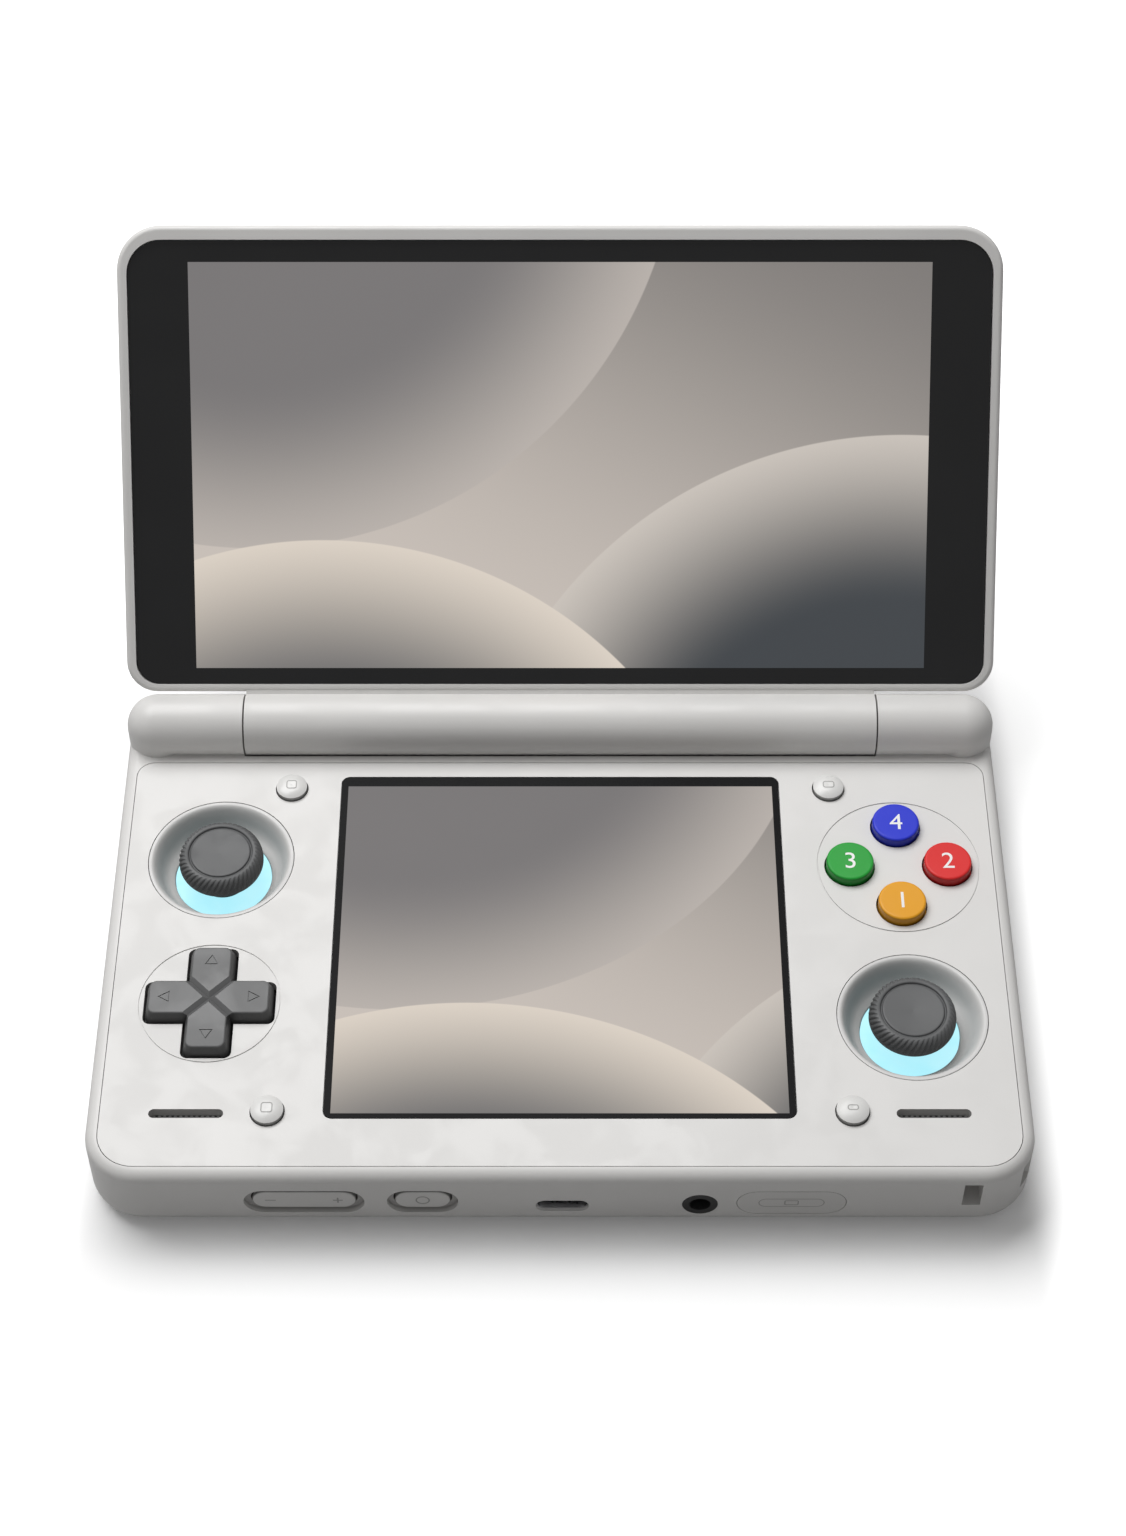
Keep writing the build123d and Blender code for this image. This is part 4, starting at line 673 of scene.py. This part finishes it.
def round_corners(points, radii, steps=6):
    """A profile whose corners are parabolic arcs. Each arc has as many points as steps says.

    An arc starts on the side before the corner and ends on the side after it, each the radius away
    from the corner but never past the middle of the side. At t from 0 to 1 its point is (1 - t)
    squared times the start, plus 2 t (1 - t) times the corner, plus t squared times the end.
    """
    points = np.array(points, float)
    parts = [points[:1]]
    t = np.linspace(0, 1, steps)[:, None]
    for before, corner, after, radius in zip(points, points[1:], points[2:], radii):
        back = before - corner
        forth = after - corner
        start = corner + back / np.linalg.norm(back) * min(radius, np.linalg.norm(back) / 2)
        end = corner + forth / np.linalg.norm(forth) * min(radius, np.linalg.norm(forth) / 2)
        parts.append((1 - t) ** 2 * start + 2 * t * (1 - t) * corner + t**2 * end)
    parts.append(points[-1:])
    return np.concatenate(parts)


def evenly(profile, spacing):
    """The same profile with points about spacing apart, and the length run at each of them.

    The run at a point is the sum of the distances between the points before it. Equal steps of the
    run give the new points by straight interpolation.
    """
    steps = np.linalg.norm(np.diff(profile, axis=0), axis=1)
    run = np.concatenate([[0], np.cumsum(steps)])
    count = max(2, int(run[-1] / spacing))
    at = np.linspace(0, run[-1], count)
    return np.stack([np.interp(at, run, profile[:, 0]), np.interp(at, run, profile[:, 1])], 1), at


print("points in one rounded corner:", len(round_corners([(0, 0), (1, 0), (1, 1)], [0.5])) - 2)

# %% [markdown]
# A grid of points becomes a mesh in one step: the points as an array, and for each cell of the grid
# a face that names its four corners. The last column joins the first, so the grid closes to a ring.

# %% Meshes from arrays


def mesh_object(name, points, faces, material, body):
    """A mesh piece from arrays of points and of faces, smooth, on its body."""
    mesh = bpy.data.meshes.new(name)
    mesh.from_pydata(points.tolist(), [], faces.tolist())
    mesh.polygons.foreach_set("use_smooth", np.ones(len(mesh.polygons), bool))
    mesh.materials.append(material)
    piece = bpy.data.objects.new(name, mesh)
    bpy.context.scene.collection.objects.link(piece)
    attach(piece, body)
    return piece


def grid_faces(rows, columns):
    """Four-cornered faces of a grid whose columns close into a ring.

    The point in row i and column j has the number i times columns plus j. A face takes that point,
    the one in the next column, and the same two in the next row.
    """
    row = np.arange(rows - 1)[:, None] * columns
    column = np.arange(columns)[None, :]
    after = (column + 1) % columns
    corners = [row + column, row + after, row + columns + after, row + columns + column]
    return np.stack(np.broadcast_arrays(*corners), -1).reshape(-1, 4)


print("faces in a ring of 3 rows and 4 columns:", len(grid_faces(3, 4)))

# %% [markdown]
# Carrying the profile round in numpy gives every point at once, and a ripple that depends on the turn
# and on the place along the profile adds a tread. Blender's Screw modifier would do the round, but
# not the ripple. Doubled points at the axis are merged, and the faces are then turned outwards.

# %% Surfaces that turn round an upright line
smooth_turns = 160


def turned(name, centre, profile, ripple, turns, material, body):
    """Point (i, j) = centre + (r cos a, r sin a, z), with r and z of profile point i.

    The angle a is 2 pi j / turns, and ripple(a) moves the radius outwards. Where the first and last
    profile points lie on the axis, each end ring is one point wide and is merged.
    """
    angle = np.linspace(0, 2 * pi, turns, endpoint=False)[None, :]
    radius = profile[:, 0:1] + ripple(angle)
    height = np.broadcast_to(profile[:, 1:2], radius.shape)
    points = np.stack([centre.x + radius * np.cos(angle), centre.y + radius * np.sin(angle), height], -1)
    piece = mesh_object(name, points.reshape(-1, 3), grid_faces(len(profile), turns), material, body)
    shape = bmesh.new()
    shape.from_mesh(piece.data)
    bmesh.ops.remove_doubles(shape, verts=shape.verts, dist=merge_distance)
    bmesh.ops.recalc_face_normals(shape, faces=shape.faces)
    shape.to_mesh(piece.data)
    shape.free()
    return piece


print("a smooth round has", smooth_turns, "columns, one each", 360 / smooth_turns, "degrees")

# %% [markdown]
# The caps of the sticks are soft rubber: a shallow dished disc, a fine groove round it, and a rolled
# rim. A slim neck under them leaves the light ring open to view. The profile is written as shares of
# the cap's own radius, so both caps can use it.

# %% Profile of a stick cap
cap_points = [  # share of the cap's radius, and drop under its top in millimetres
    (0.0, 0.42),
    (0.70, 0.16),
    (0.713, 0.46),
    (0.742, 0.46),
    (0.757, 0.06),
    (0.90, 0.10),
    (1.0, 1.5),
    (1.0, 3.3),
    (0.91, 4.2),
    (0.36, 4.45),
    (0.345, 6.25),
    (0.0, 6.25),
]
cap_roundings = [0.25, 0.1, 0.1, 0.35, 1.0, 0.9, 0.9, 0.6, 0.5, 0.2]  # in millimetres
print("points in the cap's profile:", len(cap_points), "with", len(cap_roundings), "rounded corners")

# %% [markdown]
# The rim has a slanted tread on its shoulder that thumbs can grip. It is a row of shallow dents, cut
# a quarter of a millimetre deep in the real mould. The tread fades out before the disc and before
# the side, so it never cuts into either. A bump would do from far, but not on the cap's outline.

# %% Stick caps with their tread
tread_count = 46
tread_slant = 3.6 / MM  # turn of the phase in radians per metre along the profile
tread_depth = 0.27 * MM
tread_start = 0.82  # share of the radius where the tread begins
tread_rise = 0.05  # share of the radius over which it reaches its full depth
tread_end = 3.0 * MM  # drop under the top where it has faded out
tread_fade = 0.9 * MM  # drop over which it fades
cap_spacing = 0.09 * MM
cap_turns = 8 * tread_count
for hand in HANDS:
    node = f"{hand}_stick_cap"
    low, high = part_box(node)
    cap_radius = (high.x - low.x) / 2
    outline = round_corners(
        [(share * cap_radius, high.z - drop * MM) for share, drop in cap_points],
        [size * MM for size in cap_roundings],
    )
    profile, along_profile = evenly(outline, cap_spacing)
    past_start = np.clip((profile[:, 0:1] / cap_radius - tread_start) / tread_rise, 0, 1)
    before_end = np.clip((tread_end - (high.z - profile[:, 1:2])) / tread_fade, 0, 1)

    def tread(angle):
        """Inward dents on the shoulder: a squared cosine of the turn plus a slant along the profile."""
        phase = tread_count * angle + tread_slant * along_profile[:, None]
        return -tread_depth * past_start * before_end * (0.5 + 0.5 * np.cos(phase)) ** 2

    rubber = finishes["stick_rubber"]
    cap = turned(f"{hand}_cap_rubber", middle(node), profile, tread, cap_turns, rubber, node)
    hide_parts(node)
    print(node, "faces:", len(cap.data.polygons))

# %% [markdown]
# Each stick stands in a bowl. Its lip rolls over softly, which catches the light all round, and its
# wall then drops steeply and turns in again to the floor. It is a closed profile that is carried
# round without a ripple.

# %% Bowls
bowl_points = [  # radius and depth under the deck in millimetres, from the foot up, over and back
    (8.6, 6.4),
    (8.6, 5.25),
    (10.35, 4.1),
    (11.35, 1.2),
    (12.1, 0.0),
    (12.88, 0.0),
    (12.88, 2.0),
    (14.2, 2.0),
    (14.2, 2.8),
    (12.88, 2.8),
    (9.6, 5.4),
    (9.6, 6.4),
    (8.6, 6.4),
]
bowl_roundings = [0.3, 1.6, 1.3, 0.9, 0.12, 0.1, 0.1, 0.1, 0.1, 0.3, 0.1]


def still(angle):
    """No ripple."""
    return 0 * angle


bowl_profile = round_corners(
    [(radius * MM, deck_z - depth * MM) for radius, depth in bowl_points],
    [size * MM for size in bowl_roundings],
    steps=10,
)
for hand in HANDS:
    node = f"{hand}_stick_bezel"
    plastic = finishes["well_plastic"]
    bowl = turned(f"{hand}_bowl", middle(node), bowl_profile, still, smooth_turns, plastic, "base")
    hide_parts(node)
print("bowls: 2, points in the profile:", len(bowl_profile))

# %% [markdown]
# The floor of each bowl is the light ring, a flat clear washer. Its rims stay crisp, so an Edge Split
# modifier keeps the smooth shading from bleeding over them. It reaches further in than the packed
# ring, under the cap, so that no dark rim shows inside it from the photograph's side.

# %% Light rings
ring_inner = 4.5 * MM
for hand in HANDS:
    node = f"{hand}_stick_light_ring"
    low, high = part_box(node)
    outer = (high.x - low.x) / 2
    corners = [(ring_inner, low.z), (outer, low.z), (outer, high.z), (ring_inner, high.z)]
    washer = np.array(corners + corners[:1])
    name = f"{hand}_light_washer"
    ring = turned(name, middle(node), washer, still, smooth_turns, light_material, "base")
    sharp = ring.modifiers.new("crisp rim", "EDGE_SPLIT")
    sharp.split_angle = crisp_angle
    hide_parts(node)
    print(node, "from", round(ring_inner / MM, 2), "to", round(outer / MM, 2), "mm")

# %% [markdown]
# Printed marks are drawn by Blender's own font and turned into a mesh. The mesh is moved so that its
# own box is centred on the place of the mark, because a letter's origin is at its lower left.

# %% Flat text as a mesh
letter_steps = 6


def sign(name, text, size, across, up, place, material, body):
    """Flat text as a mesh: each point is place + x across + y up, centred on its own box."""
    curve = bpy.data.curves.new(name, "FONT")
    curve.body = text
    curve.size = size
    curve.resolution_u = letter_steps
    carrier = bpy.data.objects.new(name, curve)
    bpy.context.scene.collection.objects.link(carrier)
    bpy.context.view_layer.update()
    mesh = bpy.data.meshes.new_from_object(carrier)
    bpy.data.objects.remove(carrier)
    flat = np.empty(len(mesh.vertices) * 3)
    mesh.vertices.foreach_get("co", flat)
    flat = flat.reshape(-1, 3)
    flat[:, :2] -= (flat[:, :2].min(0) + flat[:, :2].max(0)) / 2
    points = np.array(place) + flat[:, 0:1] * np.array(across) + flat[:, 1:2] * np.array(up)
    mesh.vertices.foreach_set("co", points.ravel())
    mesh.materials.clear()
    mesh.materials.append(material)
    piece = bpy.data.objects.new(name, mesh)
    bpy.context.scene.collection.objects.link(piece)
    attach(piece, body)
    return piece


print("steps in each curve of a letter:", letter_steps)

# %% [markdown]
# A mark lies a little over the face of its key. Ink on a real key is one or two hundredths of a
# millimetre thick, so that is how far it stands proud, and no two faces share one place. The place
# comes from the key's own box, so it follows the key's size.

# %% Places for the marks
proud = 0.015 * MM
sideways = (1, 0, 0)
ahead = (0, 1, 0)
rise = (0, 0, 1)


def front_place(node, across=0.0):
    """A point just in front of a node's front face, across from its middle."""
    low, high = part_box(node)
    return ((low.x + high.x) / 2 + across, low.y - proud, (low.z + high.z) / 2)


def top_place(node):
    """A point just over the middle of a node's top."""
    centre = middle(node)
    return (centre.x, centre.y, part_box(node)[1].z + proud)


print("marks stand proud by", round(proud / MM, 3), "mm")

# %% [markdown]
# The four round buttons carry a printed mark each, and plain numerals stand here. The volume rocker gets
# a sign for down and one for up in the same way, in a darker colour that paints the shade of a pressed
# mark.

# %% Numerals and signs
numeral_size = 4.9 * MM
volume_sign_size = 3.4 * MM
volume_sign_offset = 5.6 * MM
for text, spot in (("1", "bottom"), ("2", "right"), ("3", "left"), ("4", "top")):
    node = f"face_button_{spot}"
    sign(f"numeral_{spot}", text, numeral_size, sideways, ahead, top_place(node), ink_white, node)
node = "volume_rocker"
for text, label, side in (("\u2013", "down", -1), ("+", "up", 1)):
    place = front_place(node, side * volume_sign_offset)
    sign(f"volume_{label}_mark", text, volume_sign_size, sideways, rise, place, pressed_line_shade, node)
print("numerals: 4, signs: 2")

# %% [markdown]
# The other keys carry small outlines that are pressed into the plastic. Each is a flat band between two
# rounded rectangles, and a rectangle rounded by half its width is a ring. A flat band is enough, because
# a pressed line this thin shows only by the shade in it, which is painted here as a darker colour.

# %% Bands between two rounded rectangles
thinnest = 0.01 * MM  # the least rounding left inside a band


def rounded_loop(width, height, corner, steps=10):
    """Points round a rectangle: a quarter circle of radius corner in each of its four corners.

    The centre of each is the rectangle's corner moved in by the radius both ways, and its points are
    that centre plus the radius times the cosine across and the sine up.
    """
    corner = min(corner, width / 2, height / 2)
    turn = np.linspace(0, pi / 2, steps)
    loop = []
    for quarter, (side, end) in enumerate(((1, 1), (-1, 1), (-1, -1), (1, -1))):
        angle = turn + quarter * pi / 2
        x = side * (width / 2 - corner) + corner * np.cos(angle)
        y = end * (height / 2 - corner) + corner * np.sin(angle)
        loop.append(np.stack([x, y], 1))
    return np.concatenate(loop)


def outline_mark(name, size_mm, corner_mm, line_mm, place, up, body):
    """A flat band, line_mm wide, centred on place: each point is place + x across + y up."""
    width, height, corner, line = (value * MM for value in (*size_mm, corner_mm, line_mm))
    outer = rounded_loop(width, height, corner)
    inner = rounded_loop(width - 2 * line, height - 2 * line, max(corner - line, thinnest))
    flat = np.concatenate([outer, inner])
    points = np.array(place) + flat[:, 0:1] * np.array(sideways) + flat[:, 1:2] * np.array(up)
    count = len(outer)
    first = np.arange(count)
    second = (first + 1) % count
    faces = np.stack([first, second, second + count, first + count], 1)
    return mesh_object(name, points, faces, pressed_line_shade, body)


print("points in each loop:", len(rounded_loop(2 * MM, 1 * MM, thinnest)))

# %% [markdown]
# The power key has a ring, the card door a small card inside a longer finger mark, and the four small
# buttons each a little rectangle of its own size.

# %% Outline marks
small_corner = 0.5  # in millimetres, as the line
small_line = 0.18
outline_mark("power_mark", (2.4, 2.4), 1.2, 0.25, front_place("power_button"), rise, "power_button")
outline_mark("card_mark", (2.4, 1.5), 0.3, 0.2, front_place("card_door"), rise, "card_door")
outline_mark("card_pad_mark", (11, 2.5), 1.25, 0.16, front_place("card_door"), rise, "card_door")
small_marks = {
    "rear_left": (1.9, 1.9),
    "rear_right": (2.1, 1.5),
    "front_left": (2.0, 2.0),
    "front_right": (1.9, 1.1),
}
for spot, size_mm in small_marks.items():
    node = f"small_button_{spot}"
    outline_mark(f"{spot}_mark", size_mm, small_corner, small_line, top_place(node), ahead, node)
print("outline marks:", 3 + len(small_marks))

# %% [markdown]
# The studio is a plain white table. The camera sees it nearly white, while the light that it throws
# back on the console is that of a mid grey, so the undersides stay shaded. Its own faint glow, seen by
# the camera only, grows with the distance from the base: the contact shadow stays, the rest fades.

# %% Table
table_size = 6.0
bounce_colour = (0.50, 0.50, 0.50, 1)
shown_colour = (0.97, 0.97, 0.97, 1)
near_glow = (0.0, 0.045, 0.07, 0.46)  # distances from the base in metres, and the glow there
far_glow = (0.2, 0.7, 0.0, 0.7)
side_haste = 6  # how many times faster the glow grows sideways: the shadow falls to the front
half = table_size / 2
table_mesh = bpy.data.meshes.new("table")
table_mesh.from_pydata(
    [(-half, -half, 0), (half, -half, 0), (half, half, 0), (-half, half, 0)], [], [(0, 1, 2, 3)]
)
table = bpy.data.objects.new("table", table_mesh)
bpy.context.scene.collection.objects.link(table)
table_material, tree, shader, where = new_material("white table")
table_mesh.materials.append(table_material)
shader.inputs["Roughness"].default_value = 0.9
shader.inputs["Specular IOR Level"].default_value = 0.0
path = add_node(tree, "ShaderNodeLightPath")
shown = blend_colours(tree, path.outputs["Is Camera Ray"], bounce_colour, shown_colour)
tree.links.new(shown, shader.inputs["Base Color"])
shader.inputs["Emission Color"].default_value = (1, 1, 1, 1)
print("table", table_size, "m wide")

# %% [markdown]
# The distance from the base is that of a point from a rectangle: take the point from the rectangle's
# middle, drop the signs, take off half the rectangle's size, let nothing go under zero, and measure
# the length of what is left.

# %% Glow of the table
level = Vector((1, 1, 0))
half_base = (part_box("base_shell")[1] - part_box("base_shell")[0]) / 2
reach = where
for operation, operand in (
    ("SUBTRACT", middle("base_shell") * level),
    ("ABSOLUTE", None),
    ("SUBTRACT", half_base * level),
    ("MAXIMUM", Vector((0, 0, 0))),
    ("MULTIPLY", Vector((side_haste, 1, 0))),
    ("LENGTH", None),
):
    step = add_node(tree, "ShaderNodeVectorMath", operation=operation)
    tree.links.new(reach, step.inputs[0])
    if operand is not None:
        step.inputs[1].default_value = operand
    reach = step.outputs["Value" if operation == "LENGTH" else "Vector"]
lift = calc(tree, "ADD", ramp(tree, reach, *near_glow), ramp(tree, reach, *far_glow))
seen_lift = calc(tree, "MULTIPLY", path.outputs["Is Camera Ray"], lift)
tree.links.new(seen_lift, shader.inputs["Emission Strength"])
print("table material:", len(tree.nodes), "nodes")

# %% [markdown]
# One wide soft lamp hangs behind and to the left. The deck is bright, the front face is darker, the
# walls of the bowls on the lamp's side are in shade, and the shadow falls towards the viewer.

# %% Soft lamp
lamp_width = 1.0
lamp_depth = 0.7
lamp_power = 12.0
lamp_place = Vector((-0.30, 0.40, 0.97))
lamp_data = bpy.data.lights.new("soft lamp", "AREA")
lamp_data.shape = "RECTANGLE"
lamp_data.size = lamp_width
lamp_data.size_y = lamp_depth
lamp_data.energy = lamp_power
lamp = bpy.data.objects.new("soft lamp", lamp_data)
lamp.location = lamp_place
lamp.rotation_euler = (-lamp_place).to_track_quat("-Z", "Y").to_euler()
bpy.context.scene.collection.objects.link(lamp)
print("lamp", round(lamp_place.length, 2), "m away,", lamp_power, "W")

# %% [markdown]
# The world adds an even fill. To the camera and to rays that mirror or pass through something it is
# plain white, so the background and the reflections are white while the fill stays low.

# %% World and view
fill_strength = 0.20
world = bpy.data.worlds.new("white studio")
world.use_nodes = True
bpy.context.scene.world = world
tree = world.node_tree
background = tree.nodes["Background"]
background.inputs["Color"].default_value = (1, 1, 1, 1)
path = add_node(tree, "ShaderNodeLightPath")
seen = calc(tree, "MAXIMUM", path.outputs["Is Camera Ray"], path.outputs["Is Glossy Ray"])
seen = calc(tree, "MAXIMUM", seen, path.outputs["Is Transmission Ray"])
tree.links.new(ramp(tree, seen, 0, 1, fill_strength, 1.0), background.inputs["Strength"])
bpy.context.scene.view_settings.view_transform = "Standard"
print("world fill:", fill_strength)
